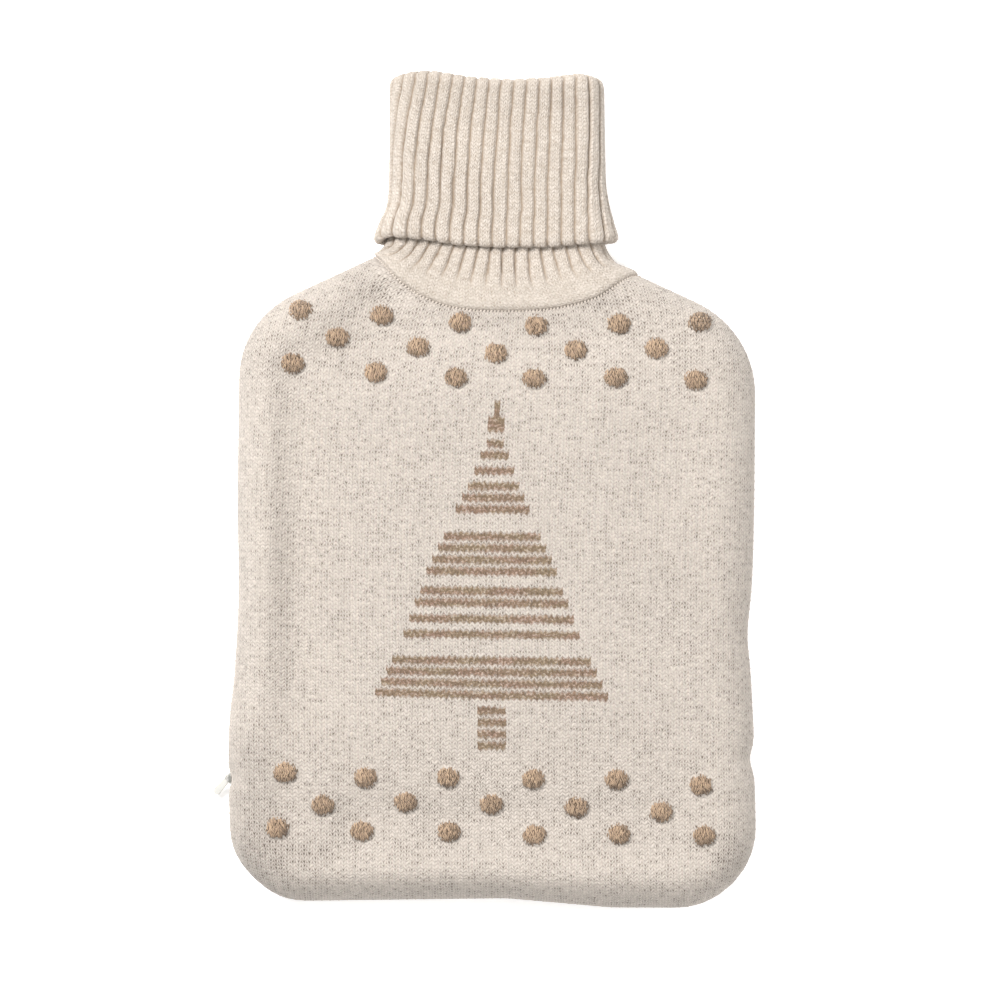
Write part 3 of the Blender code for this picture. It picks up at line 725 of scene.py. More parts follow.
@dataclass(frozen=True)
class StripedTree:
    """The fir tree knitted into the front, as bars counted from the foot of its trunk.

    Each bar is two courses high: its lower course, and how many wales it runs to either side of the
    middle one.
    """

    foot_y: float = -103.5
    centre_x: float = 2.3
    bend: float = 0.00035  # the wales bend to the right above bend_y
    bend_y: float = -45.0
    course_slope: float = 0.011  # the courses fall to the right
    sag: float = 0.33  # courses that the knitting sags by in the middle
    sag_y: float = -54.0
    sag_reach: float = 12.0
    lift: float = 0.6  # courses that the lowest branch's left end rises by
    lift_y: float = -83.0
    lift_reach: float = 8.0
    lift_width: float = 45.0
    bars: tuple[tuple[int, int], ...] = (
        (0, 2), (3, 2), (6, 2), (9, 2),  # the trunk
        (13, 20), (16, 19), (19, 18), (22, 17),  # the lowest branch
        (29, 15), (33, 14), (37, 13), (40, 12), (45, 11), (48, 10), (51, 9), (54, 8),
        (61, 6), (64, 5), (67, 4), (71, 3), (75, 2), (78, 1),  # the top
        (82, 1), (84, 1), (86, 0), (88, 0),  # the tip
    )

    def stitched(self, flat: Array) -> Array:
        """Flat places in stitches.

        Args:
            flat: the places.

        Returns:
            Each one's wales from the tree's middle and courses from its foot.
        """
        x, y = flat.T
        centre = self.centre_x + self.bend * np.maximum(0.0, y - self.bend_y) ** 2
        courses = (y - self.foot_y + self.course_slope * (x - centre)) / COURSE
        sag = self.sag * np.exp(-(((y - self.sag_y) / self.sag_reach) ** 2))
        lift = self.lift * np.exp(-(((y - self.lift_y) / self.lift_reach) ** 2))
        lift = lift * np.clip(-x / self.lift_width, 0.0, 1.0)
        return np.column_stack([(x - centre) / WALE + 0.5, courses + sag - lift])

    def mask(self, wale: Link, course: Link) -> Link:
        """1 on the tree's brown stitches.

        Args:
            wale: the stitch's wale, a whole number from the tree's middle one.
            course: its course, a whole number from the tree's foot.

        Returns:
            The mask.
        """
        reach: Any = 0.0
        for lower, half in self.bars:
            reach = (course - (lower + 0.5)).math("COMPARE", 0.0, 0.7) * (half + 0.5) + reach
        return (reach - wale.math("ABSOLUTE")).math("GREATER_THAN", 0.0)


class Legs(NamedTuple):
    """The V stitches at a place.

    height is the yarn's, from 0 to 1. hole is 1 in the pinholes between legs. wale is the stitch's,
    a whole number. climb is the place in courses along the legs. chance is random for each leg.
    """

    height: Link
    hole: Link
    wale: Link
    climb: Link
    chance: Link


@dataclass(frozen=True)
class KnitLook:
    """What every knitted cloth here shares: rows of V stitches."""

    rise: float = 0.6  # a leg climbs this many courses across half a wale
    roundness: float = 0.4
    wander: float = 0.27
    pinhole: float = 0.5
    relief: float = 0.5

    def legs(self, paint: Paint, wales: Link, courses: Link, openness: Any = 0.0) -> Legs:
        """The V stitches at a place.

        Args:
            paint: the material they are for.
            wales: the place in wales across.
            courses: the place in courses up.
            openness: 1 where the cloth is stretched, so that its pinholes show.

        Returns:
            What there is at the place.
        """
        wander_x = paint.sway(paint.point(wales, courses, 3.0), 0.8, 3.0, 2.2 * self.wander)
        wander_y = paint.sway(paint.point(wales, courses, 9.0), 0.8, 3.0, 3.0 * self.wander)
        wales = wales + wander_x
        wale = wales.math("FLOOR")
        signed = (wales - wale - 0.5) * 2
        across = signed.math("ABSOLUTE")
        slid = courses - across * self.rise + wander_y
        course = slid.math("FLOOR")
        share = slid - course
        place = {"Vector": paint.point(wale, course, signed.math("SIGN"))}
        chance = paint.make("ShaderNodeTexWhiteNoise", {}, place, "Value")
        other = paint.make("ShaderNodeTexWhiteNoise", {"noise_dimensions": "2D"}, place, "Value")
        round_leg = (share * math.pi).math("SINE").at_least(0.0) ** self.roundness
        ends = ((across * 0.84 + 0.08) * math.pi).math("SINE") ** 0.45
        hole = (1 - across) ** 3 * share**2 + across**5 * (1 - share) ** 2 * 0.7
        gape = ((other - 0.4) * 1.7).at_least(0.0) + openness * (other * 0.8 + 0.5)
        hole = (hole * gape).at_most(1.0)
        height = (round_leg * ends * (chance * 0.4 + 0.6) - hole * self.pinhole).at_least(0.0)
        return Legs(height, hole, wale, slid, chance)


@dataclass(frozen=True)
class PlainKnit:
    """Plain knit in cream yarn, with brown where the tree and the dots are, and painted shade in the valleys
    and pinholes between its legs.
    """

    name: str
    cream: Colour = (0.565, 0.503, 0.447)
    # painted shade: the valleys between the legs, and the pinholes darkest
    valley_shade: Colour = (0.445, 0.388, 0.335)
    pinhole: Colour = (0.12, 0.092, 0.068)
    brown: Colour = (0.375, 0.28, 0.18)
    red_brown: Colour = (0.395, 0.255, 0.185)
    # painted shade between and under the brown legs, also the brown yarn's darker mottle
    shaded_brown: Colour = (0.125, 0.083, 0.052)
    fuzz: float = 1.2  # courses that the brown and the cream fray into each other
    haze: float = 0.22  # courses to either side of their border that show both
    stain: float = 0.16  # brown that shows in a single cream course between two bars
    look: KnitLook = KnitLook()
    tree: StripedTree | None = None

    def build(self) -> Material:
        """Makes the material.

        Returns:
            The material.
        """
        paint = Paint(self.name, 0.95, 0.12)
        wales, courses = paint.stitches()
        openness = paint.attribute(OPENNESS_AND_SHADE)
        legs = self.look.legs(paint, wales, courses, openness)
        soft = paint.sway(paint.point(wales, courses), 0.035, 2.0, 0.12)
        streaks = paint.sway(paint.point(wales, courses * 0.05), 0.9, 2.0, 0.10)
        specks = paint.noise(paint.point(wales, courses, 5.0), 2.3, 3.0)
        # the last term darkens stretched cloth: partly its open stitches, partly painted shade beside the
        # neck
        tone = 0.925 + legs.chance * 0.08 + soft + streaks + (specks - 0.5) * 0.42 - openness * 0.13
        # painted shade in the valleys between legs and in the pinholes
        yarn = paint.mixed((legs.height * 1.3).at_most(1.0), self.valley_shade, self.cream)
        yarn = paint.mixed((legs.hole * 1.5).at_most(1.0), yarn, self.pinhole)
        if self.tree:
            yarn = self._with_brown(paint, wales, courses, legs, yarn)
        return paint.surface(paint.dimmed(yarn, tone), legs.height + specks * 0.3, self.look.relief)

    def _with_brown(self, paint: Paint, wales: Link, courses: Link, legs: Legs, yarn: Link) -> Link:
        """The cream yarn, or the mottled brown where the tree and the dots are, with painted shade between
        its legs and under the dots' yarn.

        Args:
            paint: the material.
            wales: the place in wales across.
            courses: the place in courses up.
            legs: the stitches there.
            yarn: the cream yarn's colour.

        Returns:
            The colour.
        """
        ply = paint.noise(paint.point(wales * 1.2, courses * 0.9), 1.7, 3.0)
        ply = ((ply - 0.42) * 5.0 + (legs.chance - 0.5) * 0.5).clipped()
        hue = (paint.sway(paint.point(wales * 0.16, courses * 0.34), 1.0, 1.0, 5.0) + 0.5).clipped()
        light = paint.mixed(hue, self.brown, self.red_brown)
        light = paint.mixed((ply - 0.75).at_least(0.0) * 1.6, light, self.cream)
        share = legs.height**0.5 * (ply * 0.65 + 0.35) - legs.hole * 0.4
        brown = paint.mixed(share, self.shaded_brown, light)
        # the domes under the dots' yarn take the painted shade colour, for the gaps between the legs
        on_dot = paint.attribute(DOT_SHARE).math("GREATER_THAN", 0.5)
        brown = paint.mixed(on_dot, brown, self.shaded_brown)
        fray = paint.sway(paint.point(wales * 2.2, courses * 1.2, 7.0), 1.0, 2.0, self.fuzz)
        climb = legs.climb + fray
        course = climb.math("FLOOR")
        place = climb - course
        here, above, below = (self.tree.mask(legs.wale, course + step) for step in (0.0, 1.0, -1.0))
        upper = place.math("GREATER_THAN", 1 - self.haze)
        lower = place.math("LESS_THAN", self.haze)
        on_tree = here + ((above - here) * upper + (below - here) * lower) * 0.5
        on_tree = on_tree + above * below * (1 - here) * self.stain
        return paint.mixed(on_tree.math("MAXIMUM", on_dot), yarn, brown)


@dataclass(frozen=True)
class RibKnit:
    """Two by one rib: each rib is two wales of V stitches, with a groove to its sides that painted shade
    darkens.
    """

    name: str = "cream_rib_yarn"
    cream: Colour = (0.578, 0.513, 0.45)
    fleck: Colour = (0.40, 0.33, 0.265)
    # painted shade: the valleys between legs, and darker in the grooves between ribs and in the holes
    valley_shade: Colour = (0.455, 0.387, 0.318)
    groove: Colour = (0.275, 0.21, 0.152)
    groove_width: float = 0.14  # share of a rib to each side
    look: KnitLook = KnitLook(relief=0.36)

    def build(self) -> Material:
        """Makes the material.

        Returns:
            The material.
        """
        paint = Paint(self.name, 0.95, 0.12)
        ribs, courses = paint.stitches()
        ribbing = paint.attribute(RIBBING)
        jag = paint.sway(paint.point(ribs * 2, courses * 0.9, 2.0), 1.0, 2.0, 0.14)
        rib = ribs.math("FLOOR")
        place = ribs - rib
        wales = (place - self.groove_width) / (0.5 - self.groove_width) + rib * 3
        legs = self.look.legs(paint, wales, courses)
        edge = (place + jag - 0.5).math("ABSOLUTE") * 2
        start = 1 - 2 * self.groove_width
        # uneven painted shade along the grooves, which also sets how far their relief is flattened
        groove_unevenness = paint.noise(paint.point(ribs, courses * 0.35, 4.0), 1.0) * 0.9 + 0.5
        depth = (((edge - start) / (1 - start)).at_least(0.0) * groove_unevenness).at_most(1.0) * ribbing
        soft = paint.sway(paint.point(ribs * 0.6, courses * 0.5), 0.12, 2.0, 0.14)
        specks = paint.noise(paint.point(ribs * 4, courses * 1.6, 5.0), 1.3, 3.0)
        melange = paint.noise(paint.point(ribs * 2.2, courses * 0.8), 1.0, 3.0)
        tone = 0.87 + ribbing * 0.03 + legs.chance * 0.08 + soft + (specks - 0.5) * 0.3
        flecks = ((melange - 0.52) * 4.5).clipped(0.55) * (ribbing * 0.5 + 0.5)
        yarn = paint.mixed(flecks, self.cream, self.fleck)
        # painted shade in the valleys, holes and grooves
        yarn = paint.mixed((legs.height * 1.3).at_most(1.0), self.valley_shade, yarn)
        yarn = paint.mixed(legs.hole * 0.8, yarn, self.groove)
        yarn = paint.mixed(depth, paint.dimmed(yarn, tone), self.groove)
        return paint.surface(yarn, legs.height * (1 - depth) + specks * 0.3, self.look.relief)


@dataclass(frozen=True)
class TwistedYarn:
    """A short length of yarn: fine slanting plies, and a tone between its dark and light colours by its
    Shade value: random on sewn stitches, painted light and shade on the dots' legs.
    """

    name: str
    light: Colour
    dark: Colour
    relief: float = 0.12
    plies: float = 1.1  # length of a ply's turn

    def build(self) -> Material:
        """Makes the material.

        Returns:
            The material.
        """
        paint = Paint(self.name, 0.9, 0.3)
        place = paint.here()
        x, y, z = paint.parts(place, 3)
        ply = ((x * 1.2 + y + z) * (2 * math.pi / (self.plies * MM))).math("SINE") * 0.5 + 0.5
        fluff = paint.noise(place, 1400.0)
        share = (paint.attribute(SHADE) * 0.75 + ply * 0.15 + (fluff - 0.5) * 0.5).clipped()
        return paint.surface(paint.mixed(share, self.dark, self.light), ply * 0.6 + fluff, self.relief)


@dataclass(frozen=True)
class WovenTape:
    """The zip's tape: a fine close weave."""

    name: str = "zip_tape_weave"
    colour: Colour = (0.80, 0.78, 0.72)
    thread: float = 0.5

    def build(self) -> Material:
        """Makes the material.

        Returns:
            The material.
        """
        paint = Paint(self.name, 0.8, 0.15)
        place = paint.here()
        turns = 2 * math.pi / (self.thread * MM)
        weft, warp = ((part * turns).math("SINE") for part in paint.parts(place, 2))
        weave = weft * warp * 0.5 + 0.5
        tone = 0.82 + weave * 0.12 + paint.sway(place, 90.0, 2.0, 0.12)
        return paint.surface(paint.dimmed(self.colour, tone), weave, 0.12)


@dataclass(frozen=True)
class Nylon:
    """Smooth milky plastic, faintly uneven, as on the coil and the pull."""

    name: str
    colour: Colour
    roughness: float

    def build(self) -> Material:
        """Makes the material.

        Returns:
            The material.
        """
        paint = Paint(self.name, self.roughness)
        paint.set("Subsurface Weight", 0.25)
        paint.set("Subsurface Radius", (0.0008, 0.0007, 0.0006))
        place = paint.here()
        flow = paint.noise(place, 260.0)
        scuff = paint.noise(place, 1500.0, 3.0)
        paint.set("Roughness", scuff * 0.25 + (self.roughness - 0.1))
        tone = 0.92 + (flow - 0.5) * 0.14
        return paint.surface(paint.dimmed(self.colour, tone), flow + scuff * 0.2, 0.05)


@dataclass(frozen=True)
class DullNickel:
    """The slider's plating: grey, brushed soft by handling."""

    name: str = "dull_nickel"
    colour: Colour = (0.42, 0.41, 0.38)

    def build(self) -> Material:
        """Makes the material.

        Returns:
            The material.
        """
        paint = Paint(self.name, 0.38, 0.0, 0.85)
        place = paint.here()
        handled = paint.noise(place, 350.0, 3.0)
        paint.set("Roughness", 0.28 + handled * 0.25)
        tone = 0.8 + handled * 0.35
        return paint.surface(paint.dimmed(self.colour, tone), paint.noise(place, 2600.0), 0.03)


@dataclass(frozen=True)
class PaleTable:
    """The plain pale floor that the cover lies on."""

    name: str = "pale_table"
    colour: Colour = (0.96, 0.96, 0.955)
    glow: float = 0.42  # the light that the white table throws up by itself

    def build(self) -> Material:
        """Makes the material.

        Returns:
            The material.
        """
        paint = Paint(self.name, 0.9)
        place = paint.here()
        tone = 0.985 + paint.sway(place, 6.0, 2.0, 0.02)
        paint.set("Emission Color", (1.0, 1.0, 1.0, 1.0))
        paint.set("Emission Strength", self.glow)
        return paint.surface(paint.dimmed(self.colour, tone), paint.noise(place, 900.0), 0.02)


# ---- meshes


def shown(name: str, mesh: bpy.types.Mesh) -> Piece:
    """A mesh as an object in the scene.

    Args:
        name: the object's name.
        mesh: the mesh.

    Returns:
        The object.
    """
    piece = bpy.data.objects.new(name, mesh)
    bpy.context.scene.collection.objects.link(piece)
    return piece


def new_piece(
    name: str,
    points: Array,
    faces: list[tuple[int, ...]],
    material: Material | None = None,
    stitches: Array | None = None,
    attributes: dict[str, Array] | None = None,
    edges: list[tuple[int, int]] | None = None,
) -> Piece:
    """A mesh object in the scene, from points in millimetres.

    Args:
        name: the object's name.
        points: its points.
        faces: its faces, pointing outwards.
        material: its finish.
        stitches: the place in stitches of each point, or of each face's corners.
        attributes: further values of its points.
        edges: loose edges, for a path.

    Returns:
        The object.
    """
    mesh = bpy.data.meshes.new(name)
    mesh.from_pydata((points * MM).tolist(), edges or [], faces)
    for label, values in (attributes or {}).items():
        kind, key = ("FLOAT_VECTOR", "vector") if values.ndim == 2 else ("FLOAT", "value")
        layer = mesh.attributes.new(label, kind, "POINT")
        layer.data.foreach_set(key, values.astype(np.float32).ravel())
    if stitches is not None:
        corners = np.empty(len(mesh.loops), np.int32)
        mesh.loops.foreach_get("vertex_index", corners)
        stitches = stitches[corners] if len(stitches) == len(points) else stitches
        layer = mesh.uv_layers.new(name=STITCH_MAP)
        layer.data.foreach_set("uv", stitches.astype(np.float32).ravel())
    if material:
        mesh.materials.append(material)
    if faces:
        mesh.shade_smooth()
    return shown(name, mesh)


def plain_mesh(piece: Piece) -> Piece:
    """Takes an object's modifiers into its mesh, and removes them.

    Args:
        piece: the object.

    Returns:
        The same object.
    """
    graph = bpy.context.evaluated_depsgraph_get()
    mesh = bpy.data.meshes.new_from_object(piece.evaluated_get(graph))
    mesh.name = piece.name
    piece.modifiers.clear()
    old, piece.data = piece.data, mesh
    bpy.data.meshes.remove(old)
    return piece


def reshaped(piece: Piece, change: Callable[[bmesh.types.BMesh], Any]) -> Piece:
    """Changes an object's mesh.

    Args:
        piece: the object.
        change: what to do to its mesh.

    Returns:
        The same object.
    """
    shape = bmesh.new()
    shape.from_mesh(piece.data)
    change(shape)
    shape.to_mesh(piece.data)
    shape.free()
    return piece


def settle(piece: Piece, slot: str, *nodes: str) -> Piece:
    """Joins a finished piece to the frame.

    Args:
        piece: the piece, in place.
        slot: a record's material slot; not used.
        nodes: the CAD nodes it stands for.

    Returns:
        The piece.
    """
    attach(piece, BODY)
    if nodes:
        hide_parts(*nodes)
    triangles = sum(len(face.vertices) - 2 for face in piece.data.polygons)
    log.info("%s: %d triangles, stands for %s", piece.name, triangles, ", ".join(nodes) or "no node")
    return piece


# ---- small yarn pieces by Geometry Nodes


class GeometryTree(Bench):
    """A Geometry Nodes tree with named inputs, whose result becomes a plain mesh."""

    def __init__(self, name: str, sizes: dict[str, float], material: Material) -> None:
        """Starts the tree with its inputs.

        Args:
            name: its name.
            sizes: its named sizes; a whole number makes a whole-number input.
            material: the finish of what it makes.
        """
        super().__init__(bpy.data.node_groups.new(name, "GeometryNodeTree"))
        self.sizes = sizes
        self.material = material
        panel = self.tree.interface
        panel.new_socket("Geometry", in_out="INPUT", socket_type="NodeSocketGeometry")
        for label, size in sizes.items():
            kind = "NodeSocketInt" if isinstance(size, int) else "NodeSocketFloat"
            panel.new_socket(label, in_out="INPUT", socket_type=kind)
        panel.new_socket("Geometry", in_out="OUTPUT", socket_type="NodeSocketGeometry")
        self.entry = self.tree.nodes.new("NodeGroupInput")

    def given(self, label: str) -> Link:
        """A named input of the tree."""
        return Link(self, self.entry.outputs[label])

    def named(self, label: str) -> Link:
        """A vector that the points carry."""
        return self.make("GeometryNodeInputNamedAttribute", {"data_type": "FLOAT_VECTOR"}, {"Name": label})

    def vector(self, operation: str, first: Link, second: Link, socket: int = 1) -> Link:
        """A Vector Math node on two links."""
        return self.make("ShaderNodeVectorMath", {"operation": operation}, {0: first, socket: second})

    def random(self, low: Any, high: Any) -> Link:
        """A number for each point or instance, by the tree's own seed."""
        inputs = {2: low, 3: high, "Seed": self.given("Seed")}
        return self.make("FunctionNodeRandomValue", {"data_type": "FLOAT"}, inputs, 1)

    def bits(self, points: Link, along: Link, out: Link, size: list[Link]) -> Link:
        """Short lengths of yarn, one at each point.

        Args:
            points: the points.
            along: the way each lies.
            out: the way each faces.
            size: its length, width and depth.

        Returns:
            The instances.
        """
        parts = {"Segments": self.given("Segments"), "Rings": self.given("Rings"), "Radius": 0.5}
        bit = self.make("GeometryNodeMeshUVSphere", {}, parts)
        bit = self.make("GeometryNodeTransform", {}, {"Geometry": bit, "Rotation": (0.0, math.pi / 2, 0.0)})
        axes = {"primary_axis": "X", "secondary_axis": "Z"}
        turn = self.make("FunctionNodeAxesToRotation", axes, {0: along, 1: out})
        scale = self.make("ShaderNodeCombineXYZ", {}, dict(enumerate(size)))
        placed = {"Points": points, "Instance": bit, "Rotation": turn, "Scale": scale}
        return self.make("GeometryNodeInstanceOnPoints", {}, placed)

    def applied(self, shape: Link, piece: Piece) -> Piece:
        """Ends the tree with a shape, runs it on an object, and leaves a plain mesh.

        Args:
            shape: the tree's instances.
            piece: the object.

        Returns:
            The object.
        """
        shape = self.make("GeometryNodeRealizeInstances", {}, {"Geometry": shape})
        shape = self.make("GeometryNodeSetShadeSmooth", {}, {"Geometry": shape})
        shape = self.make("GeometryNodeSetMaterial", {}, {"Geometry": shape, "Material": self.material})
        self.feed(self.tree.nodes.new("NodeGroupOutput").inputs[0], shape)
        change = piece.modifiers.new(self.tree.name, "NODES")
        change.node_group = self.tree
        for item in self.tree.interface.items_tree:
            if item.in_out == "INPUT" and item.name in self.sizes:
                change[item.identifier] = self.sizes[item.name]
        return plain_mesh(piece)


def sizes_of(record: Any, *lengths: str) -> dict[str, float]:
    """A record's numbers under their names, the lengths among them in metres."""
    numbers = {name: value for name, value in vars(record).items() if isinstance(value, (int, float))}
    return {name.title(): value * MM if name in lengths else value for name, value in numbers.items()}


@dataclass
class YarnBits:
    """Short lengths of yarn, one at each point of a carrier, lying along it and facing out."""

    name: str
    material: Material
    length: float
    width: float
    segments: int = 6
    rings: int = 4
    unevenness: float = 0.2
    seed: int = 7

    def place(self, points: Array, along: Array, out: Array, tones: Array) -> Piece:
        """Makes them.

        Args:
            points: their middles.
            along: the way each lies.
            out: the way each faces.
            tones: how light each is, from 0 to 1.

        Returns:
            The piece, as a plain mesh.
        """
        carrier = new_piece(self.name, points, [], attributes={ALONG: along, OUT: out, SHADE: tones})
        tree = GeometryTree(self.name, sizes_of(self, "length", "width"), self.material)
        spread = tree.given("Unevenness")
        grow = tree.random(1 - spread, 1 + spread)
        size = [tree.given(label) * grow for label in ("Length", "Width", "Width")]
        bits = tree.bits(tree.given("Geometry"), tree.named(ALONG), tree.named(OUT), size)
        return tree.applied(bits, carrier)


@dataclass
class PathStitches:
    """Stitches at even steps along a path, slanting or crossing over it in turn."""

    name: str
    material: Material
    spacing: float
    length: float
    width: float
    slant: float = 0.0  # radians, away from the path's own direction
    alternate: float = 0.0  # shift to one side and the other, in turn
    segments: int = 6
    rings: int = 5
    seed: int = 11

    def along(self, path: Array, out: Array, closed: bool = False) -> Piece:
        """Makes them.

        Args:
            path: the path's points.
            out: the way the stitches face at each.
            closed: joins the path's end to its start.

        Returns:
            The piece, as a plain mesh.
        """
        count = len(path)
        edges = [(index, (index + 1) % count) for index in range(count if closed else count - 1)]
        carrier = new_piece(self.name, path, [], attributes={OUT: out}, edges=edges)
        sizes = sizes_of(self, "spacing", "length", "width", "alternate")
        tree = GeometryTree(self.name, sizes, self.material)
        curve = tree.make("GeometryNodeMeshToCurve", {}, {"Mesh": tree.given("Geometry")})
        steps = {"Curve": curve, "Length": tree.given("Spacing")}
        curve = tree.make("GeometryNodeResampleCurve", {"mode": "LENGTH"}, steps)
        ahead = tree.make("GeometryNodeInputTangent")
        facing = tree.named(OUT)
        sideways = tree.vector("CROSS_PRODUCT", facing, ahead)
        odd = tree.make("GeometryNodeInputIndex").math("MODULO", 2.0) - 0.5
        shift = tree.vector("SCALE", sideways, odd * 2 * tree.given("Alternate"), 3)
        curve = tree.make("GeometryNodeSetPosition", {}, {"Geometry": curve, "Offset": shift})
        lean = tree.vector("SCALE", sideways, tree.given("Slant").math("SINE"), 3)
        straight = tree.vector("SCALE", ahead, tree.given("Slant").math("COSINE"), 3)
        size = [tree.given(label) for label in ("Length", "Width", "Width")]
        bits = tree.bits(curve, tree.vector("ADD", lean, straight), facing, size)
        stored = {"Geometry": bits, "Name": SHADE, "Value": tree.random(0.0, 1.0)}
        bits = tree.make("GeometryNodeStoreNamedAttribute", {"domain": "INSTANCE"}, stored)
        return tree.applied(bits, carrier)


# ---- the body's panels


class Extra(NamedTuple):
    """Further flat points of a panel's outer face.

    rises says how far each stands out, shares is each one's share of a dot, and the panel's own
    points keep the distance clear from the centres.
    """

    flat: Array = np.empty((0, 2))
    rises: Array = np.empty(0)
    shares: Array = np.empty(0)
    centres: Array = np.empty((0, 2))
    clear: float = 0.0


class Spacing(NamedTuple):
    """How close a cloth's points are: across the rounded side, along it, in the middle, to the edge."""

    rings: float
    along: float
    grid: float
    margin: float


@dataclass
class KnitPanel:
    """One knitted panel: its outer face, its inner one, and the edge turned in between them."""

    form: Form
    side: Side
    boundary: Array
    outer_points: Spacing = Spacing(1.45, 2.3, 2.0, 0.7)
    inner_points: Spacing = Spacing(5.0, 5.0, 5.0, 1.8)
    turn_in: float = 0.9  # how far its edge is drawn in at a seam
    turn_reach: float = 2.6
    fan: float = 9.0  # how far the wales spread below the neckline's ends
    fan_reach: float = 14.0
    least_openness: float = 0.08
    # stretched places; those beside the neck also darken the cloth as painted shade where it dips below the
    # band
    stretches_and_shade: tuple[Swell, ...] = rows(
        Swell,
        (-88, -146, 1, 10, 14), (-92, -122, 0.55, 5, 14), (-68, -144, 0.6, 12, 6),
        (-92, -104, 0.5, 5, 8), (-58, -130, 0.5, 5, 8), (-24, -130, 0.35, 5, 8),
        (96, -146, 0.6, 8, 10), (44, 76, 0.8, 12, 4), (-46, 79, 0.7, 10, 6), (-64, 70, 0.3, 12, 6),
        (-90, 58, 0.5, 8, 10), (64, 72, 0.3, 12, 6), (8, 68, 0.3, 40, 4), (96, 58, 0.35, 7, 12),
        (-56, 50, 0.35, 6, 6),
    )

    def lattice(self, spacing: Spacing) -> Array:
        """Flat points over the panel: rings across the rounded side, and a staggered grid.

        Args:
            spacing: how close they are.

        Returns:
            The points.
        """
        outline, reach, step = self.form.outline, self.form.edge_round, spacing.grid
        ring = evenly(outline.loop, spacing.along)[:-1]
        inward = outline.inset(ring)[1]
        rings = [ring + inward * inset for inset in np.arange(spacing.rings, reach + 0.1, spacing.rings)]
        low, high = outline.loop.min(axis=0), outline.loop.max(axis=0)
        middle = []
        for row, y in enumerate(np.arange(low[1], high[1], step * math.sqrt(0.75))):
            shift = step / 2 if row % 2 else 0.0
            middle += [(x, y) for x in np.arange(low[0] + shift, high[0], step)]
        middle = np.array(middle)
        middle = middle[outline.inset(middle)[0] > reach + step * 0.45]
        points = np.vstack([*rings, middle])
        return points[inside(points, self.boundary, spacing.margin)]

    @staticmethod
    def _triangles(boundary: Array, inner: Array) -> list[tuple[int, ...]]:
        """Triangles over a polygon and the points inside it.

        Args:
            boundary: the polygon's corners.
            inner: the points.

        Returns:
            The triangles, anticlockwise, by places in both lists together.
        """
        points = np.vstack([boundary, inner])
        rim = [(index, (index + 1) % len(boundary)) for index in range(len(boundary))]
        made = geometry.delaunay_2d_cdt([tuple(point) for point in points], rim, [], 1, 1e-6)
        order = [sources[0] for sources in made[3]]
        return [tuple(order[corner] for corner in face) for face in made[2]]

    def stitched(self, flat: Array) -> Array:
        """Places on the knitting, its wales fanned out below the neckline.

        Args:
            flat: flat points.

        Returns:
            Each one's wales and courses.
        """
        distance, inward = self.form.outline.inset(flat)
        beyond = np.maximum(0.0, self.form.edge_round - distance) * self.form.side_length
        spread = flat - inward * beyond[:, None]
        x, y = flat.T
        share = np.clip((x - SEAM_LINE.centre_x) / SEAM_LINE.half_width, -1, 1)
        below = SEAM_LINE.front(SEAM_LINE.centre_x + share * SEAM_LINE.half_width) - y
        fan = self.fan * share * np.exp(-np.abs(below) / self.fan_reach) * (self.side == Side.FRONT)
        return StripedTree().stitched(spread + np.column_stack([fan, np.zeros(len(flat))]))

    def openness(self, flat: Array) -> Array:
        """How far the knitting is stretched open, with painted shade beside the neck.

        Args:
            flat: flat points.

        Returns:
            A share from 0 to 1 for each.
        """
        total = np.full(len(flat), self.least_openness)
        for stretch in self.stretches_and_shade if self.side == Side.FRONT else ():
            total += stretch.at(flat)
        return np.minimum(total, 1.0)

    def relief(self, flat: Array) -> Array:
        """How far the outer face stands out at flat points: drawn in at the panel's own edge."""
        edge = nearest_on(self.boundary, flat)[0]
        return -self.turn_in * np.maximum(0.0, 1 - edge / self.turn_reach) ** 2

    def build(self, name: str, material: Material, extra: Extra = Extra()) -> Piece:
        """Makes the panel.

        Args:
            name: its name.
            material: its finish.
            extra: further points of its outer face.

        Returns:
            The panel.
        """
        own = self.lattice(self.outer_points)
        if len(extra.centres):
            gaps = np.min([np.hypot(*(own - place).T) for place in extra.centres], axis=0)
            own = own[gaps > extra.clear]
        outer = np.vstack([own, extra.flat])
        rise = self.relief(outer) + np.concatenate([np.zeros(len(own)), extra.rises])
        inner = self.lattice(self.inner_points)
        rim = self.boundary
        layers = ((rim, self.turn_in), (outer, -rise), (rim, CLOTH), (inner, CLOTH))
        points = np.vstack([self.form.lay(flat, self.side, depth) for flat, depth in layers])
        count, shift = len(rim), len(rim) + len(outer)
        faces = self._triangles(rim, outer)
        faces += [tuple(corner + shift for corner in reversed(face)) for face in self._triangles(rim, inner)]
        for index in range(count):
            after = (index + 1) % count
            faces.append((after, index, index + shift, after + shift))
        if self.side == Side.BACK:
            faces = [tuple(reversed(face)) for face in faces]
        flat = np.vstack([rim, outer, rim, inner])
        dot_share = np.zeros(len(points))
        dot_share[count + len(own) : count + len(outer)] = extra.shares
        values = {DOT_SHARE: dot_share, OPENNESS_AND_SHADE: self.openness(flat)}
        return new_piece(name, points, faces, material, self.stitched(flat), values)


class DotRow(NamedTuple):
    """A row of raised dots, left to right."""

    xs: tuple[float, ...]
    ys: tuple[float, ...]


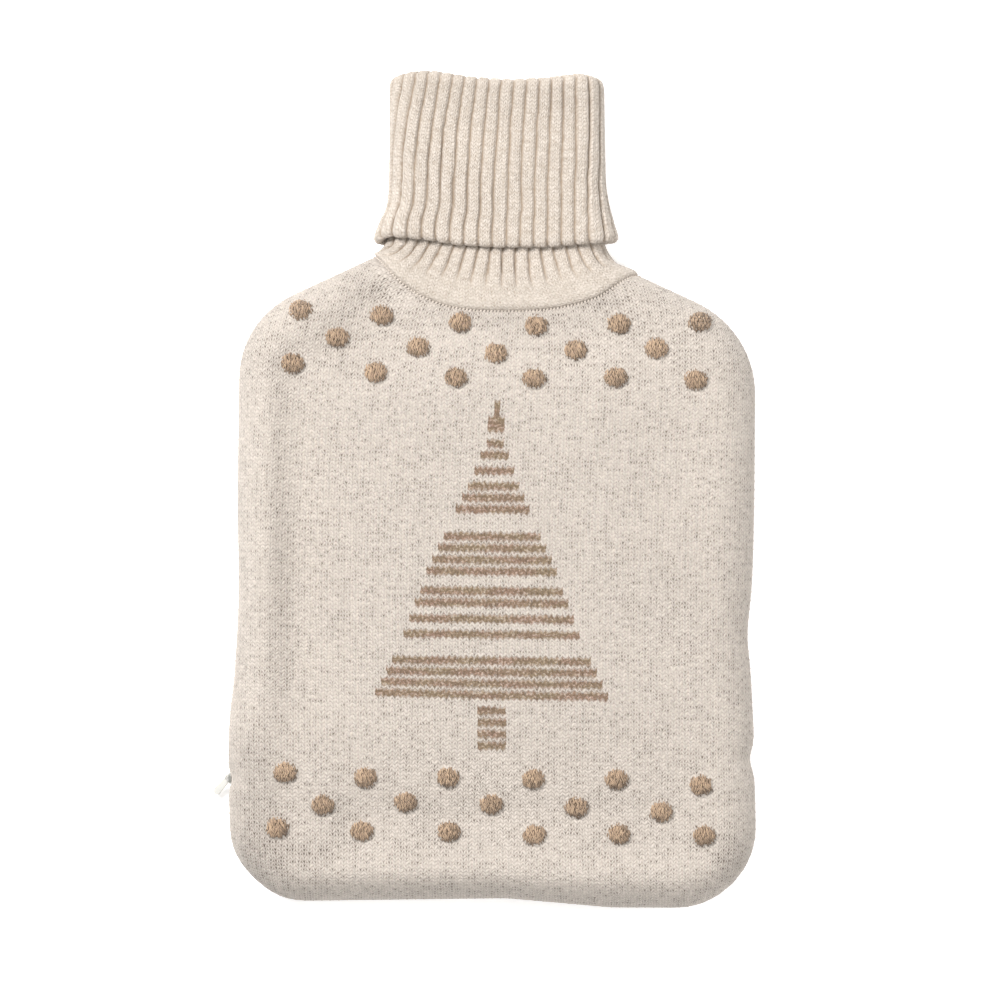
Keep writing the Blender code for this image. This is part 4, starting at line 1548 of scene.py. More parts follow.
@dataclass
class RaisedDots:
    """The brown dots: low domes of the panel, with each stitch's two legs of yarn on them."""

    form: Form
    rows: tuple[DotRow, ...] = (
        DotRow((-73.7, -41.4, -10.2, 20.1, 52.9, 85.2), (71.9, 69.8, 67.0, 65.7, 66.4, 67.1)),
        DotRow((-59.1, -26.9, 4.0, 35.7, 67.9), (60.9, 57.2, 54.8, 56.0, 56.6)),
        DotRow((-76.8, -44.0, -11.9, 19.2, 51.6, 83.5), (50.6, 47.1, 45.0, 44.6, 45.0, 44.0)),
        DotRow((-79.9, -47.9, -15.1, 18.8, 52.0, 85.6), (-112.2, -114.2, -114.2, -114.8, -114.9, -117.3)),
        DotRow((-64.9, -31.9, 2.2, 36.0, 69.7), (-125.1, -124.1, -125.0, -126.2, -127.8)),
        DotRow((-83.1, -49.3, -14.8, 19.2, 52.9, 86.9), (-134.3, -135.4, -135.6, -137.0, -136.7, -137.3)),
    )
    radius: float = 4.5
    stretch: Pair = (1.09, 0.94)  # each dot is wider than it is tall
    rise: float = 1.5
    flatness: float = 2.3  # the power that makes the dome's top flatter than a ball's
    moat: float = 0.25  # how far the ground dips round a dot
    moat_width: float = 0.7
    rim: float = 0.4  # cream cloth that shows inside a dot's edge
    skirt: float = 1.3  # how far its own points reach beyond it
    clear: float = 2.0
    rings: int = 7
    sides: int = 24
    leg_pitch: float = 0.75
    leg_course: float = 1.0
    leg_length: float = 1.8
    leg_width: float = 0.66
    leg_lean: float = 0.4  # radians, the most to either side
    leg_counts: tuple[int, int] = (5, 7)  # rows and columns to each side of the middle
    leg_jitter: Pair = (0.22, 0.3)
    leg_edge: float = 0.96  # share of a dot that its legs cover
    edge_jitter: Pair = (-0.06, 0.07)
    leg_tone_and_light: tuple[float, ...] = (0.68, 0.24, -0.2, -0.5)  # base tone, then painted light: lighter upwards, painted shade to the right and out to the edge
    tone_spread: Pair = (0.05, 0.2)  # from dot to dot, and from leg to leg
    leg_seat: float = 0.06
    leg_probe: float = 0.3  # the step to either side that finds the dome's slope
    seed: int = 21

    def centres(self) -> Array:
        """The dots' centres seen from above."""
        return np.array([place for row in self.rows for place in zip(row.xs, row.ys)])

    def dome(self, distance: Array) -> Array:
        """The dome's rise.

        Args:
            distance: distances from its centre.

        Returns:
            The rise at each.
        """
        share = np.clip(distance / self.radius, 0.0, 1.0)
        moat = self.moat * np.exp(-(((distance - self.radius - self.moat_width) / self.moat_width) ** 2))
        return self.rise * np.sqrt(1 - share**self.flatness) - moat

    def extra(self) -> Extra:
        """Points over every dot.

        Returns:
            What the panel that carries the dots adds to its own face.
        """
        plan, rises, shares = [], [], []
        for centre in self.centres():
            for ring in range(self.rings + 1):
                distance = (self.radius + self.skirt) * ring / self.rings
                count = max(1, round(self.sides * ring / self.rings))
                angles = (np.arange(count) + 0.5 * (ring % 2)) * 2 * math.pi / count
                circle = np.column_stack([np.cos(angles), np.sin(angles)])
                plan.append(centre + distance * circle * self.stretch)
                rises += [float(self.dome(np.array(distance)))] * count
                shares += [float(distance < self.radius - self.rim)] * count
        flat, centres = (self.form.unrolled(places) for places in (np.vstack(plan), self.centres()))
        return Extra(flat, np.array(rises), np.array(shares), centres, self.radius + self.clear)

    def _on_dome(self, plan: Array, centres: Array, lift: float = 0.0) -> Array:
        """Places on the domes over points seen from above."""
        rise = self.dome(np.linalg.norm((plan - centres) / self.stretch, axis=1)) + lift
        return self.form.lay(self.form.unrolled(plan), Side.FRONT, -rise)

    def _over_one(self, rng: np.random.Generator) -> Array:
        """One dot's legs.

        Args:
            rng: the random numbers.

        Returns:
            Each leg's place from the centre, its lean, and its tone with painted light and shade.
        """
        legs = []
        tone, up, right, out = self.leg_tone_and_light
        tone += rng.normal(0.0, self.tone_spread[0])
        high, wide = self.leg_counts
        for row in range(-high, high + 1):
            for column in range(-wide, wide + 1):
                x, y = (column + 0.5 * (row % 2)) * self.leg_pitch, row * self.leg_course
                x, y = (place + rng.uniform(-most, most) for place, most in zip((x, y), self.leg_jitter))
                reach = math.hypot(x / self.stretch[0], y / self.stretch[1]) / self.radius
                if reach > self.leg_edge + rng.uniform(*self.edge_jitter):
                    continue
                # painted light and shade: lighter at the top, darker to the right and at the dot's edge
                shade = tone + up * y / self.radius + right * x / self.radius + out * reach**4
                lean = rng.uniform(-self.leg_lean, self.leg_lean)
                legs.append((x, y, lean, shade + rng.normal(0.0, self.tone_spread[1])))
        return np.array(legs)

    def legs(self, material: Material) -> Piece:
        """The legs of yarn over every dot.

        Args:
            material: their finish.

        Returns:
            The piece.
        """
        rng = np.random.default_rng(self.seed)
        each = [self._over_one(rng) for _ in self.centres()]
        centres = np.repeat(self.centres(), [len(legs) for legs in each], axis=0)
        every = np.vstack(each)
        plan, leans, tones = centres + every[:, :2], every[:, 2], np.clip(every[:, 3], 0.0, 1.0)
        seats = self._on_dome(plan, centres, self.leg_seat)
        way = np.column_stack([np.sin(leans), np.cos(leans)])
        slopes = []
        for step in (self.leg_probe * way, -self.leg_probe * to_left(way)):
            slopes.append(self._on_dome(plan + step, centres) - self._on_dome(plan - step, centres))
        along, across = unit(slopes[0]), slopes[1]
        bits = YarnBits("dot_yarn", material, self.leg_length, self.leg_width)
        return bits.place(seats, along, unit(np.cross(across, along)), tones)


@dataclass
class CoverBody:
    """The front panel with its dots, the two back panels, and the stitches of the side seam."""

    form: Form
    zip_upper: Line
    zip_lower: Line
    seam_step: float = 2.0
    neck_step: float = 1.6
    stitch_sizes: tuple[float, ...] = (3.4, 3.0, 0.8, 1.15)  # spacing, length, width and slant
    seam_inset: float = 0.5
    front: Array = field(init=False)
    above: Array = field(init=False)
    below: Array = field(init=False)

    def __post_init__(self) -> None:
        """Cuts the three panels' boundaries."""
        outline, form, step = self.form.outline, self.form, self.seam_step
        neck = lowered(SEAM_LINE.front, SEAM_GAP)
        neck_left, neck_right = outline.crossings(neck)
        sides = outline.between(neck_left, neck_right, step)
        self.front = np.vstack([sides, form.line_between(neck, sides[-1], sides[0], self.neck_step)])
        upper_left, upper_right = outline.crossings(self.zip_upper)
        left = outline.between(neck_left, upper_left, step)
        right = outline.between(upper_right, neck_right, step)
        ends = left[0] + (0.0, SEAM_GAP), right[-1] + (0.0, SEAM_GAP)
        over_zip = form.line_between(self.zip_upper, left[-1], right[0], step)
        back_neck = lowered(SEAM_LINE.back(*ends), SEAM_GAP)
        back_neck = form.line_between(back_neck, right[-1], left[0], self.neck_step)
        self.above = np.vstack([left, over_zip, right, back_neck])
        foot = outline.between(*outline.crossings(self.zip_lower), step)
        self.below = np.vstack([foot, form.line_between(self.zip_lower, foot[-1], foot[0], step)])

    def build(self) -> None:
        """Makes the body's pieces."""
        with_tree = PlainKnit("cream_knit_yarn", tree=StripedTree()).build()
        plain = PlainKnit("cream_knit_back").build()
        # the dots' legs: the dark colour is painted shade, the light one painted light
        brown = TwistedYarn("brown_yarn", (0.545, 0.385, 0.255), (0.10, 0.066, 0.042)).build()
        cream = TwistedYarn("cream_seam_yarn", (0.60, 0.53, 0.465), (0.46, 0.395, 0.33)).build()
        dots = RaisedDots(self.form)
        front = KnitPanel(self.form, Side.FRONT, self.front).build("front_cloth", with_tree, dots.extra())
        upper = KnitPanel(self.form, Side.BACK, self.above).build("back_cloth_upper", plain)
        lower = KnitPanel(self.form, Side.BACK, self.below).build("back_cloth_lower", plain)
        settle(front, "cream_knit", "front_panel")
        settle(upper, "cream_knit", "back_panel_upper")
        settle(lower, "cream_knit", "back_panel_lower")
        yarn = settle(dots.legs(brown), "cream_knit")
        seam = settle(self.side_seam(cream), "cream_knit")

    def side_seam(self, material: Material) -> Piece:
        """Overcast stitches round the side seam, between the ends of the neckline.

        Args:
            material: their finish.

        Returns:
            The piece.
        """
        outline = self.form.outline
        flat = outline.between(*outline.crossings(lowered(SEAM_LINE.front, 2 * SEAM_GAP)), 1.0)
        inward = outline.inset(flat)[1]
        path = np.column_stack([flat + inward * self.seam_inset, self.form.depths(flat[:, 1])[1]])
        out = np.column_stack([-inward, np.zeros(len(inward))])
        return PathStitches("side_seam_stitches", material, *self.stitch_sizes).along(path, out)


# ---- the collar


class Ring(NamedTuple):
    """A ring round the collar, by its share of the way from the hem to the fold."""

    rise: float
    centre_x: float
    half_width: float
    centre_z: float
    half_depth: float


class Layer(Enum):
    """The layers of the folded collar."""

    TUBE = "tube"
    FLAP = "flap"
    FOLD = "fold"


class Step(NamedTuple):
    """A step of the collar's cloth in section.

    at counts rings up a layer, or degrees round the fold. off is measured from the middle of the
    cloth. rib is the share of the ribs' relief there, and cuts the rows up to the next step.
    """

    layer: Layer
    at: float
    off: float
    rib: float
    cuts: int


def steps(layer: Layer, *values: tuple[float, float, float, int]) -> tuple[Step, ...]:
    """Steps of the section in one layer."""
    return tuple(Step(layer, *row) for row in values)


@dataclass
class Collar:
    """The ribbed collar: one tube of cloth, folded over outwards, its section swept round.

    An edge is its Y by the share of the way round, from the left side over the front.
    """

    form: Form
    ribs: int = 38
    rib_places: tuple[float, ...] = (0.0, 0.05, 0.11, 0.2, 0.32, 0.44, 0.56, 0.68, 0.8, 0.89, 0.95)
    crest: float = 0.7
    crease: float = 0.1  # depth of the line between a rib's two wales
    crease_width: float = 0.14
    groove: float = 0.945
    groove_width: float = 0.19  # share of a rib to each side of its groove
    wander: float = 0.07
    strays: tuple[tuple[float, float, int], ...] = ((1.0, 9.0, 31), (0.5, 2.6, 32))  # share, size and seed
    twist: float = 0.9  # ribs that the fold lags behind the hem
    bow: float = 0.5  # ribs that the side ribs bow outwards half way up
    hem_shift: float = 0.22  # ribs that the hem slides to the right
    lean: float = 0.15  # ribs that the foot's ribs shift to the left
    fan: float = 0.55  # ribs that the foot's ribs spread by at the sides
    neck_top: float = 98.0
    hem_y: float = 99.0
    hem_to_fold: float = 65.0
    floor_gap: float = 0.1  # the ribs underneath are pressed flat by the table
    fold_radius: float = 1.5
    face: Pair = (6.0, 18.0)  # the heights between which the face's hollows start
    probe: float = 0.15  # the step, in rings, to either side that finds the cloth's slope
    tube_rings: tuple[Ring, ...] = rows(
        Ring,
        (0, 3.4, 42.6, 12, 7.4), (0.11, 4, 42, 11.8, 7.1), (0.2, 4.8, 40.3, 11.6, 6.9),
        (0.35, 4.6, 38.8, 11.5, 6.7), (1, 4.4, 38.3, 11.5, 6.7),
    )
    flap_rings: tuple[Ring, ...] = rows(
        Ring,
        (0, 4, 46.8, 12.3, 10.6), (0.11, 4.2, 45.5, 12, 10.3), (0.2, 4.8, 43.4, 11.7, 10),
        (0.35, 4.6, 41.9, 11.5, 9.7), (1, 4.4, 41.3, 11.5, 9.7),
    )
    hem_edge: tuple[tuple[float, ...], ...] = (
        (0, 0.05, 0.12, 0.18, 0.25, 0.35, 0.45, 0.5, 0.6, 0.9),
        (99.4, 101.8, 100.4, 98.4, 97.4, 97.6, 99.4, 99.8, 98.6, 98.2),
    )
    top_edge: tuple[tuple[float, ...], ...] = (
        (0, 0.06, 0.11, 0.19, 0.28, 0.36, 0.44, 0.5, 0.75),
        (165.2, 166.6, 167, 165.2, 164.2, 164.6, 165.9, 164.4, 165),
    )
    hollows: tuple[Swell, ...] = rows(
        Swell, (10, 146, -2, 32, 13), (36, 150, -1.2, 9, 12), (-16, 112, 0.5, 14, 10), (20, 110, 0.4, 12, 9)
    )
    section: tuple[Step, ...] = (
        *steps(Layer.TUBE, (0, 1.2, 0, 3), (0.22, 2.2, 0, 3), (0.5, 2.3, 0, 3), (0.8, 1.9, 0.05, 3)),
        *steps(Layer.TUBE, (1.05, 1.5, 0.5, 4), (1.4, 1.1, 1, 6), (2, 1.1, 1, 5), (4, 1.1, 0, 4)),
        *steps(Layer.TUBE, (5.9, 1.1, 0, 1), (6, 1.1, 0, 4)),
        *steps(Layer.FOLD, (90, 1.15, 0, 3)),
        *steps(Layer.FLAP, (4, -1.1, 0, 1), (3.9, -1.1, 0, 5), (2, -1.1, 0, 4), (0, -0.9, 0, 3)),
        *steps(Layer.FLAP, (-0.1, 0, 0.4, 3), (0, 0.9, 1, 5), (1, 1.1, 1, 4), (2, 1.1, 1, 6)),
        *steps(Layer.FLAP, (3, 1.1, 1, 7), (3.3, 1.1, 1, 8), (3.65, 1.1, 1, 7), (3.93, 1.1, 1, 2)),
        *steps(Layer.FLAP, (4, 1.1, 0.9, 4)),
        *steps(Layer.FOLD, (130, -1.1, 0.7, 4), (90, -1.1, 0.6, 4), (50, -1.1, 0.7, 4)),
        *steps(Layer.TUBE, (6, -1.1, 1, 2), (5.9, -1.1, 1, 6), (4.5, -1.1, 1, 6), (3, -1.1, 1, 4)),
        *steps(Layer.TUBE, (2, -1.1, 1, 4), (1.3, -1.1, 0.6, 3), (0.6, -1.2, 0, 2), (0, -1.2, 0, 2)),
    )
    turns: Array = field(init=False)

    def __post_init__(self) -> None:
        """Spaces the columns round the collar, in shares of the way."""
        places = [(rib + place) / self.ribs for rib in range(self.ribs) for place in self.rib_places]
        self.turns = np.array(places)

    def _neckline(self, neckline: Neckline) -> Array:
        """A ring along a neckline, in the cloth's middle.

        Args:
            neckline: the neckline.

        Returns:
            Its points, over the front and back under the rear.
        """
        form = self.form
        left, right = form.ends(neckline.front)
        over = np.vstack([[left], form.line_between(neckline.front, left, right, 0.5), [right]])
        under = np.vstack([[right], form.line_between(neckline.back(left, right), right, left, 0.5), [left]])
        ring = []
        for line, side, first in ((over, Side.FRONT, 0.0), (under, Side.BACK, 0.5)):
            points = form.lay(line, side, CLOTH / 2)
            chosen = (self.turns >= first) & (self.turns < first + 0.5)
            ring.append(at_lengths(points, (self.turns[chosen] - first) * 2 * lengths_along(points)[-1]))
        return np.vstack(ring)

    def _flat_ring(self, ring: Ring, y: Array) -> Array:
        """A ring with flat front and back and half-round sides.

        Args:
            ring: its sizes.
            y: how far up the cover each column is.

        Returns:
            Its points, evenly spaced from its left side.
        """
        straight = 2 * (ring.half_width - ring.half_depth)
        quarter = math.pi * ring.half_depth / 2
        along = self.turns * (2 * straight + 4 * quarter)
        marks = np.concatenate([[0.0], np.cumsum([quarter, straight, 2 * quarter, straight, quarter])])
        angle = np.radians(np.interp(along, marks, [180.0, 90.0, 90.0, -90.0, -90.0, -180.0]))
        slide = np.interp(along, marks, np.array([-1, -1, 1, 1, -1, -1]) * straight / 2)
        x = ring.centre_x + slide + ring.half_depth * np.cos(angle)
        return np.column_stack([x, y, ring.centre_z + ring.half_depth * np.sin(angle)])

    def _layers(self) -> dict[Layer, Array]:
        """The rings of both layers.

        Returns:
            The inner layer's from the neckline up, and the outer's from the hem up.
        """
        hem, top = (np.interp(self.turns, *edge, period=1.0) for edge in (self.hem_edge, self.top_edge))
        top = top - self.fold_radius - CLOTH / 2
        tube = [self._neckline(SEAM_LINE), self._neckline(RIB_END_LINE)]
        neck = self.neck_top
        tube += [self._flat_ring(ring, neck + (top - neck) * ring.rise) for ring in self.tube_rings]
        flap = [self._flat_ring(ring, hem + (top - hem) * ring.rise) for ring in self.flap_rings]
        return {Layer.TUBE: np.array(tube), Layer.FLAP: np.array(flap)}

    @staticmethod
    def _between(layer: Array, at: float) -> Array:
        """A ring part of the way between a layer's rings.

        Args:
            layer: the rings.
            at: the place, counted in rings.

        Returns:
            The ring, on a smooth curve through them.
        """
        index = int(np.clip(math.floor(at), 0, len(layer) - 2))
        before, after = layer[max(index - 1, 0)], layer[min(index + 2, len(layer) - 1)]
        start, end = layer[index], layer[index + 1]
        return bridge(start, end, (end - before) / 2, (after - start) / 2, at - index)

    def _row(self, layers: dict[Layer, Array], step: Step) -> Array:
        """The ring of points at one step of the section, without its ribs.

        Args:
            layers: the rings of the two layers.
            step: the step. Round the fold it turns from the tube's side over the top to the flap's.

        Returns:
            The points.
        """
        if step.layer == Layer.FOLD:
            inner, outer = layers[Layer.TUBE][-1], layers[Layer.FLAP][-1]
            outward = (outer - inner) / 2
            radius = np.linalg.norm(outward, axis=1, keepdims=True) - step.off
            turn = math.radians(step.at)
            swing = -math.cos(turn) * unit(outward) + np.array([0.0, math.sin(turn), 0.0])
            return (inner + outer) / 2 + swing * radius
        layer, at = layers[step.layer], max(step.at, 0.0)
        ring = self._between(layer, at)
        around = np.roll(ring, -1, axis=0) - np.roll(ring, 1, axis=0)
        low, high = max(at - self.probe, 0.0), min(at + self.probe, len(layer) - 1.0)
        normal = unit(np.cross(around, self._between(layer, high) - self._between(layer, low)))
        return self._between(layer, step.at) + normal * step.off

    def _refined(self, rings: Array) -> tuple[Array, Array, Array]:
        """Adds rows between the section's steps, on a smooth closed curve.

        Args:
            rings: the ring of points at each step.

        Returns:
            The rows, each one's ribbing, and 1 for the rows at and below the ribs' lower ends,
            easing to 0 up the neck.
        """
        ahead = np.roll(rings, -1, axis=0) - rings
        reach = np.linalg.norm(ahead, axis=2, keepdims=True)
        before = np.roll(reach, 1, axis=0)
        slope = ahead / reach
        bend = (np.roll(slope, 1, axis=0) * reach + slope * before) / (reach + before)
        feet = [np.clip(2.0 - step.at, 0.0, 1.0) * (step.layer == Layer.TUBE) for step in self.section]
        fine, ribbing, foot = [], [], []
        for index, step in enumerate(self.section):
            after = (index + 1) % len(rings)
            leave, arrive = bend[index] * reach[index], bend[after] * reach[index]
            for share in (cut / step.cuts for cut in range(step.cuts)):
                fine.append(bridge(rings[index], rings[after], leave, arrive, share))
                ribbing.append(step.rib + (self.section[after].rib - step.rib) * share)
                foot.append(feet[index] + (feet[after] - feet[index]) * share)
        return np.array(fine), np.array(ribbing), np.array(foot)

    def _dipped(self, points: Array) -> Array:
        """Presses the soft hollows into the collar's front.

        Args:
            points: the rows.

        Returns:
            The rows, moved.
        """
        moved = points.copy()
        dip = sum(hollow.at(points) for hollow in self.hollows)
        start, end = self.face
        moved[..., 2] += dip * smooth((points[..., 2] - start) / (end - start))
        return moved

    def _ribbed(self, points: Array, ribbing: Array, phase: Array) -> Array:
        """Raises the ribs: round crests, and narrow grooves between them.

        Args:
            points: the rows.
            ribbing: each row's ribbing.
            phase: each point's place in ribs.

        Returns:
            The rows, moved.
        """
        around = np.roll(points, -1, axis=1) - np.roll(points, 1, axis=1)
        normal = unit(np.cross(around, np.roll(points, -1, axis=0) - np.roll(points, 1, axis=0)))
        edge = np.abs(phase - np.floor(phase) - 0.5) * 2
        dip = (edge - (1 - 2 * self.groove_width)) / (2 * self.groove_width)
        crest = self.crest * np.sqrt(np.clip(1 - edge**2, 0.0, 1.0))
        relief = crest - self.crease * np.exp(-((edge / self.crease_width) ** 2)) - self.groove * smooth(dip)
        return points + normal * (relief * ribbing[:, None])[..., None]

    def _phase(self, points: Array, ribbing: Array, foot: Array, courses: Array) -> Array:
        """Each point's place round the collar in ribs: straight lines, and how they stray.

        Args:
            points: the rows.
            ribbing: their ribbing.
            foot: 1 for the rows at the neck's foot.
            courses: each point's course.

        Returns:
            The places.
        """
        rib = np.repeat(np.arange(self.ribs), len(self.rib_places))[None] + np.zeros((len(courses), 1))
        place = np.stack([rib * 7.3, courses], axis=-1).reshape(-1, 2)
        stray = sum(share * soft_noise(place, size, seed) for share, size, seed in self.strays)
        drift = self.wander * stray.reshape(rib.shape) * np.minimum(ribbing, 1.0)[:, None]
        up = np.clip((points[..., 1] - self.hem_y) / self.hem_to_fold, 0.0, 1.0)
        sideways = np.cos(2 * math.pi * self.turns)
        ribbed = (ribbing > 0)[:, None]
        phase = self.turns[None] * self.ribs + drift - self.twist * up**1.5 * ribbed
        phase = phase + foot[:, None] * (self.lean + self.fan * sideways)
        phase = phase + self.bow * np.sin(math.pi * up) * sideways * ribbed
        return phase - self.hem_shift * (1 - up) ** 3 * (1 - foot)[:, None]

    def mesh(self, material: Material) -> Piece:
        """Sweeps the collar, its place on the ribbing unbroken where section and round close.

        Args:
            material: its finish.

        Returns:
            The collar.
        """
        layers = self._layers()
        rings = np.array([self._row(layers, step) for step in self.section])
        points, ribbing, foot = self._refined(rings)
        points = self._dipped(points)
        climbs = np.linalg.norm(points - np.roll(points, 1, axis=0), axis=2)
        climbs[0] = 0.0
        courses = np.cumsum(climbs, axis=0) / COURSE
        phase = self._phase(points, ribbing, foot, courses)
        points = self._ribbed(points, ribbing, phase)
        points[..., 2] = np.maximum(points[..., 2], self.floor_gap)
        count, columns = courses.shape
        row, column = np.divmod(np.arange(count * columns), columns)
        beside, above = (column + 1) % columns, (row + 1) % count
        turned = self.ribs * (beside == 0)
        corners = ((row, column, 0), (row, beside, turned), (above, beside, turned), (above, column, 0))
        quads = np.stack([high * columns + across for high, across, _ in corners], axis=1)
        us = np.stack([phase[high, across] + more for high, across, more in corners], axis=1)
        vs = np.stack([courses[high, across] for high, across, _ in corners], axis=1)
        closing = above == 0
        vs[closing, 2:] = courses[-1, column[closing], None] + 1.0
        stitches = np.stack([us, vs], axis=-1).reshape(-1, 2)
        strength = {RIBBING: np.repeat(ribbing, columns)}
        return new_piece("collar_cloth", points.reshape(-1, 3), quads.tolist(), material, stitches, strength)

    def linking(self, material: Material) -> Piece:
        """The row of loops that links the collar's foot to the neckline.

        Args:
            material: its finish.

        Returns:
            The piece, over front and back.
        """
        form = self.form
        line = lowered(SEAM_LINE.front, SEAM_GAP / 2)
        left, right = form.ends(line)
        over = form.line_between(line, left, right, 1.0)
        under = form.line_between(SEAM_LINE.back(left, right), right, left, 1.0)
        halves = ((over, Side.FRONT), (under, Side.BACK))
        outer, path = (np.vstack([form.lay(*half, depth) for half in halves]) for depth in (0.0, 1.0))
        stitches = PathStitches("neck_linking", material, WALE * 0.62, 1.9, 1.05, slant=1.2)
        return stitches.along(path, unit(outer - path), closed=True)

    def build(self) -> None:
        """Makes the collar and its linking."""
        cloth = settle(self.mesh(RibKnit().build()), "cream_rib", "collar")
        yarn = TwistedYarn("cream_linking_yarn", (0.62, 0.55, 0.485), (0.52, 0.455, 0.39)).build()
        linking = settle(self.linking(yarn), "cream_rib")


# ---- the zip


@dataclass
class Zip:
    """The closed zip across the back: tape, coil, sewing, slider and pull."""

    form: Form
    slot: float = 5.2
    left: Pair = (-103.4, -115.6)
    right: Pair = (106.5, -106.5)
    end_inset: float = 0.25
    path_step: float = 2.0
    tape_half_width: float = 5.5
    tape_depth: float = CLOTH + 2 * GAP
    tape_thickness: float = 0.7
    coil_depth: float = 2.1
    coil_inset: float = 0.75
    # spacing, length, width, slant and shift
    coil_sizes: tuple[float, ...] = (0.62, 2.1, 0.62, math.pi / 2 - 0.12, 0.75)
    sewing_offset: float = 2.2
    sewing_depth: float = 0.1
    sewing_inset: float = 1.5
    sewing_sizes: tuple[float, ...] = (3.1, 2.3, 0.42)  # spacing, length and width
    bevel: float = 0.22

    def line(self, x: Array) -> Array:
        """The zip's Y across the back."""
        slope = (self.right[1] - self.left[1]) / (self.right[0] - self.left[0])
        return self.left[1] + slope * (x - self.left[0])

    def edge(self, side: int) -> Line:
        """The slot's edge on the panel above the zip, or on the one below where the side is -1."""
        return lowered(self.line, -side * self.slot / 2)

    def _path(self, line: Line, end_inset: float) -> Array:
        """Flat points along a line of the zip, short of the side seams."""
        path = self.form.line_between(line, *self.form.ends(line), self.path_step)
        return path[self.form.outline.inset(path)[0] > end_inset]

    def tape(self, material: Material) -> Piece:
        """The tape, behind both panels.

        Args:
            material: its finish.

        Returns:
            The piece.
        """
        near, far, half = self.tape_depth, self.tape_depth + self.tape_thickness, self.tape_half_width
        section = np.array([(-half, near), (-half, far), (0.0, far), (half, far), (half, near), (0.0, near)])
        path = self._path(self.line, self.end_inset)
        offsets = np.outer(section[:, 0], (0.0, 1.0))
        points = np.vstack([self.form.lay(place + offsets, Side.BACK, section[:, 1]) for place in path])
        count = len(section)
        last = len(points) - count
        faces = [tuple(range(count)), tuple(last + corner for corner in reversed(range(count)))]
        for here in range(0, last, count):
            for corner in range(count):
                after, ahead = (corner + 1) % count, here + count
                faces.append((here + after, here + corner, ahead + corner, ahead + after))
        piece = new_piece("zip_tape", points, faces, material)
        return reshaped(piece, lambda shape: bmesh.ops.recalc_face_normals(shape, faces=shape.faces))

    def _stitched(self, stitches: PathStitches, line: Line, depth: float, inset: float) -> Piece:
        """Stitches along a line over the back.

        Args:
            stitches: their form.
            line: the line.
            depth: how far in from the back's face they lie.
            inset: how far they stay from the side seams.

        Returns:
            The settled piece.
        """
        flat = self._path(line, inset)
        points = self.form.lay(flat, Side.BACK, depth)
        out = unit(self.form.lay(flat, Side.BACK, depth - 1.0) - points)
        return settle(stitches.along(points, out), "zip_tape")

    def build(self) -> None:
        """Makes the zip's pieces."""
        tape = settle(self.tape(WovenTape().build()), "zip_tape", "zip_chain")
        nylon = Nylon("coil_nylon", (0.82, 0.81, 0.78), 0.4).build()
        coil = PathStitches("zip_coil", nylon, *self.coil_sizes, rings=6)
        coil_piece = self._stitched(coil, self.line, self.coil_depth, self.coil_inset)
        thread = TwistedYarn("cream_sewing_thread", (0.8, 0.76, 0.68), (0.66, 0.6, 0.52), plies=0.5).build()
        for name, side in (("zip_sewing_upper", 1), ("zip_sewing_lower", -1)):
            row = PathStitches(name, thread, *self.sewing_sizes)
            line = lowered(self.edge(side), -side * self.sewing_offset)
            self._stitched(row, line, self.sewing_depth, self.sewing_inset)
        self._metalwork("zip_slider", "zip_slider_body", DullNickel().build())
        self._metalwork("zip_pull", "zip_pull_tab", Nylon("pull_plastic", (0.66, 0.65, 0.61), 0.3).build())

    @staticmethod
    def _cleaned(shape: bmesh.types.BMesh) -> None:
        """Joins a solid's loose triangles, and merges its flat faces."""
        bmesh.ops.remove_doubles(shape, verts=shape.verts, dist=1e-6)
        bmesh.ops.dissolve_limit(shape, angle_limit=math.radians(2), verts=shape.verts, edges=shape.edges)

    def _metalwork(self, node: str, name: str, material: Material) -> None:
        """The slider or the pull: its solid with its edges rounded over.

        Args:
            node: the CAD node, whose record slot has the same name.
            name: the new piece's name.
            material: its finish.
        """
        piece = reshaped(shown(name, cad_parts[node].data.copy()), self._cleaned)
        rounding = piece.modifiers.new("rounding", "BEVEL")
        rounding.width = self.bevel * MM
        rounding.segments = 3
        rounding.limit_method = "ANGLE"
        rounding.angle_limit = math.radians(40)
        plain_mesh(piece)
        piece.data.materials.clear()
        piece.data.materials.append(material)
        piece.data.shade_smooth()
        settle(piece, node, node)


# ---- the picture


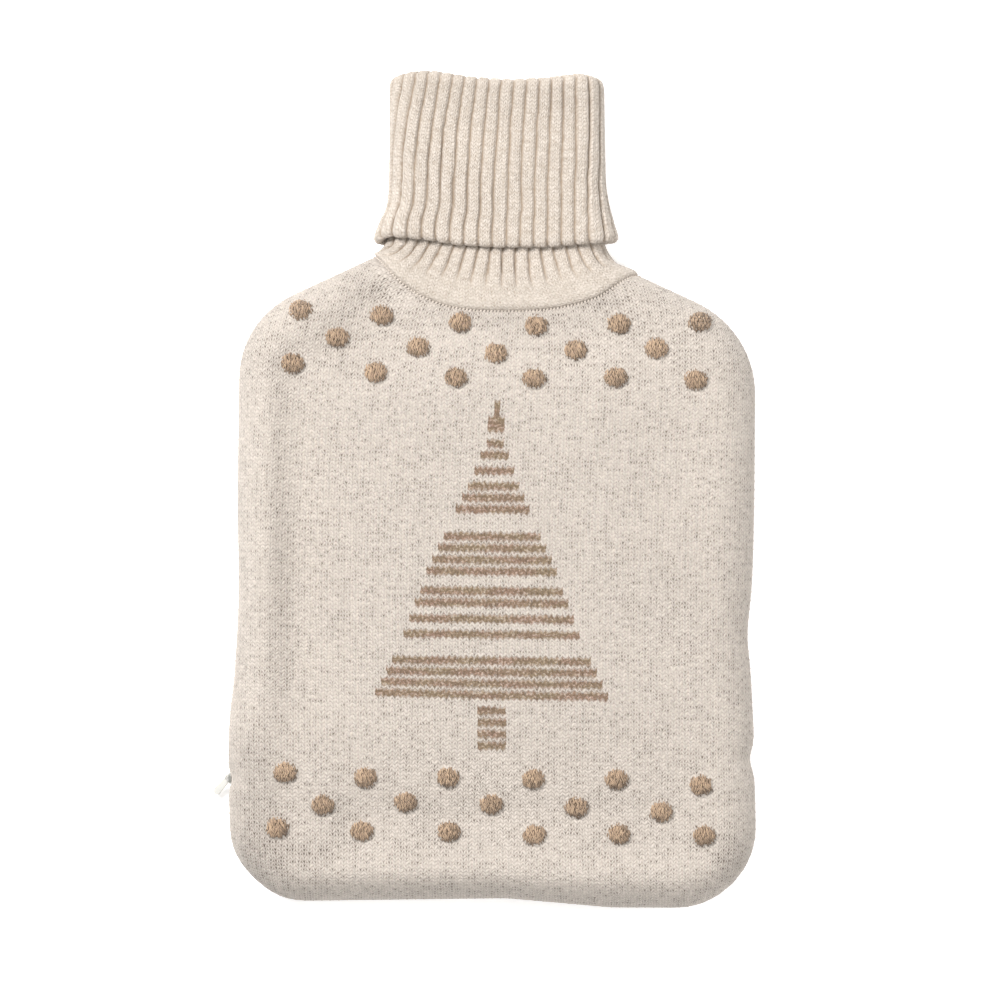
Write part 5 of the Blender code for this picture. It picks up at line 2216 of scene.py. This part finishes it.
@dataclass
class Studio:
    """The floor, the soft light from the upper left, and the camera straight above."""

    view: tuple[float, float, float] = (5.6, -3.8, 17.0)
    view_width: float = 400.0
    camera_height: float = 3000.0
    sensor: float = 36.0
    floor_size: float = 4000.0
    sky: float = 0.4

    def floor(self) -> None:
        """A plain pale table."""
        half = self.floor_size / 2
        corners = np.array([(-half, -half, 0.0), (half, -half, 0.0), (half, half, 0.0), (-half, half, 0.0)])
        new_piece("table", corners, [(0, 1, 2, 3)], PaleTable().build())

    def camera(self) -> None:
        """A long lens, so that the sides stay upright."""
        data = bpy.data.cameras.new("camera")
        data.sensor_width = self.sensor
        data.lens = self.sensor * self.camera_height / self.view_width
        data.clip_end = 20.0
        camera = shown("camera", data)
        camera.location = (np.array(self.view) + (0.0, 0.0, self.camera_height)) * MM
        bpy.context.scene.camera = camera

    def lamp(self, name: str, place: tuple[float, float, float], size: float, power: float) -> None:
        """A square soft lamp that faces the cover.

        Args:
            name: its name.
            place: where it hangs.
            size: its side.
            power: its power in watts.
        """
        data = bpy.data.lights.new(name, "AREA")
        data.size = size * MM
        data.energy = power
        lamp = shown(name, data)
        lamp.location = np.array(place) * MM
        back = unit(np.array(place))
        lamp.rotation_euler = (math.acos(back[2]), 0.0, math.atan2(back[0], -back[1]))

    def build(self) -> None:
        """Sets the picture up."""
        self.floor()
        self.camera()
        self.lamp("key", (-1080.0, 1150.0, 1960.0), 900.0, 87.0)
        self.lamp("fill", (1000.0, -250.0, 1500.0), 1200.0, 14.5)
        world = bpy.data.worlds.new("studio")
        world.use_nodes = True
        background = world.node_tree.nodes["Background"]
        background.inputs["Color"].default_value = (1.0, 1.0, 1.0, 1.0)
        background.inputs["Strength"].default_value = self.sky
        bpy.context.scene.world = world
        bpy.context.scene.view_settings.view_transform = "Standard"


def main() -> None:
    """Builds the cover over its frame."""
    logging.basicConfig(level=logging.INFO, format="%(name)s: %(message)s")
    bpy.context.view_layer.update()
    Studio().build()
    form = Form(Outline())
    closure = Zip(form)
    CoverBody(form, closure.edge(1), closure.edge(-1)).build()
    Collar(form).build()
    closure.build()


if __name__ == "__main__":
    main()
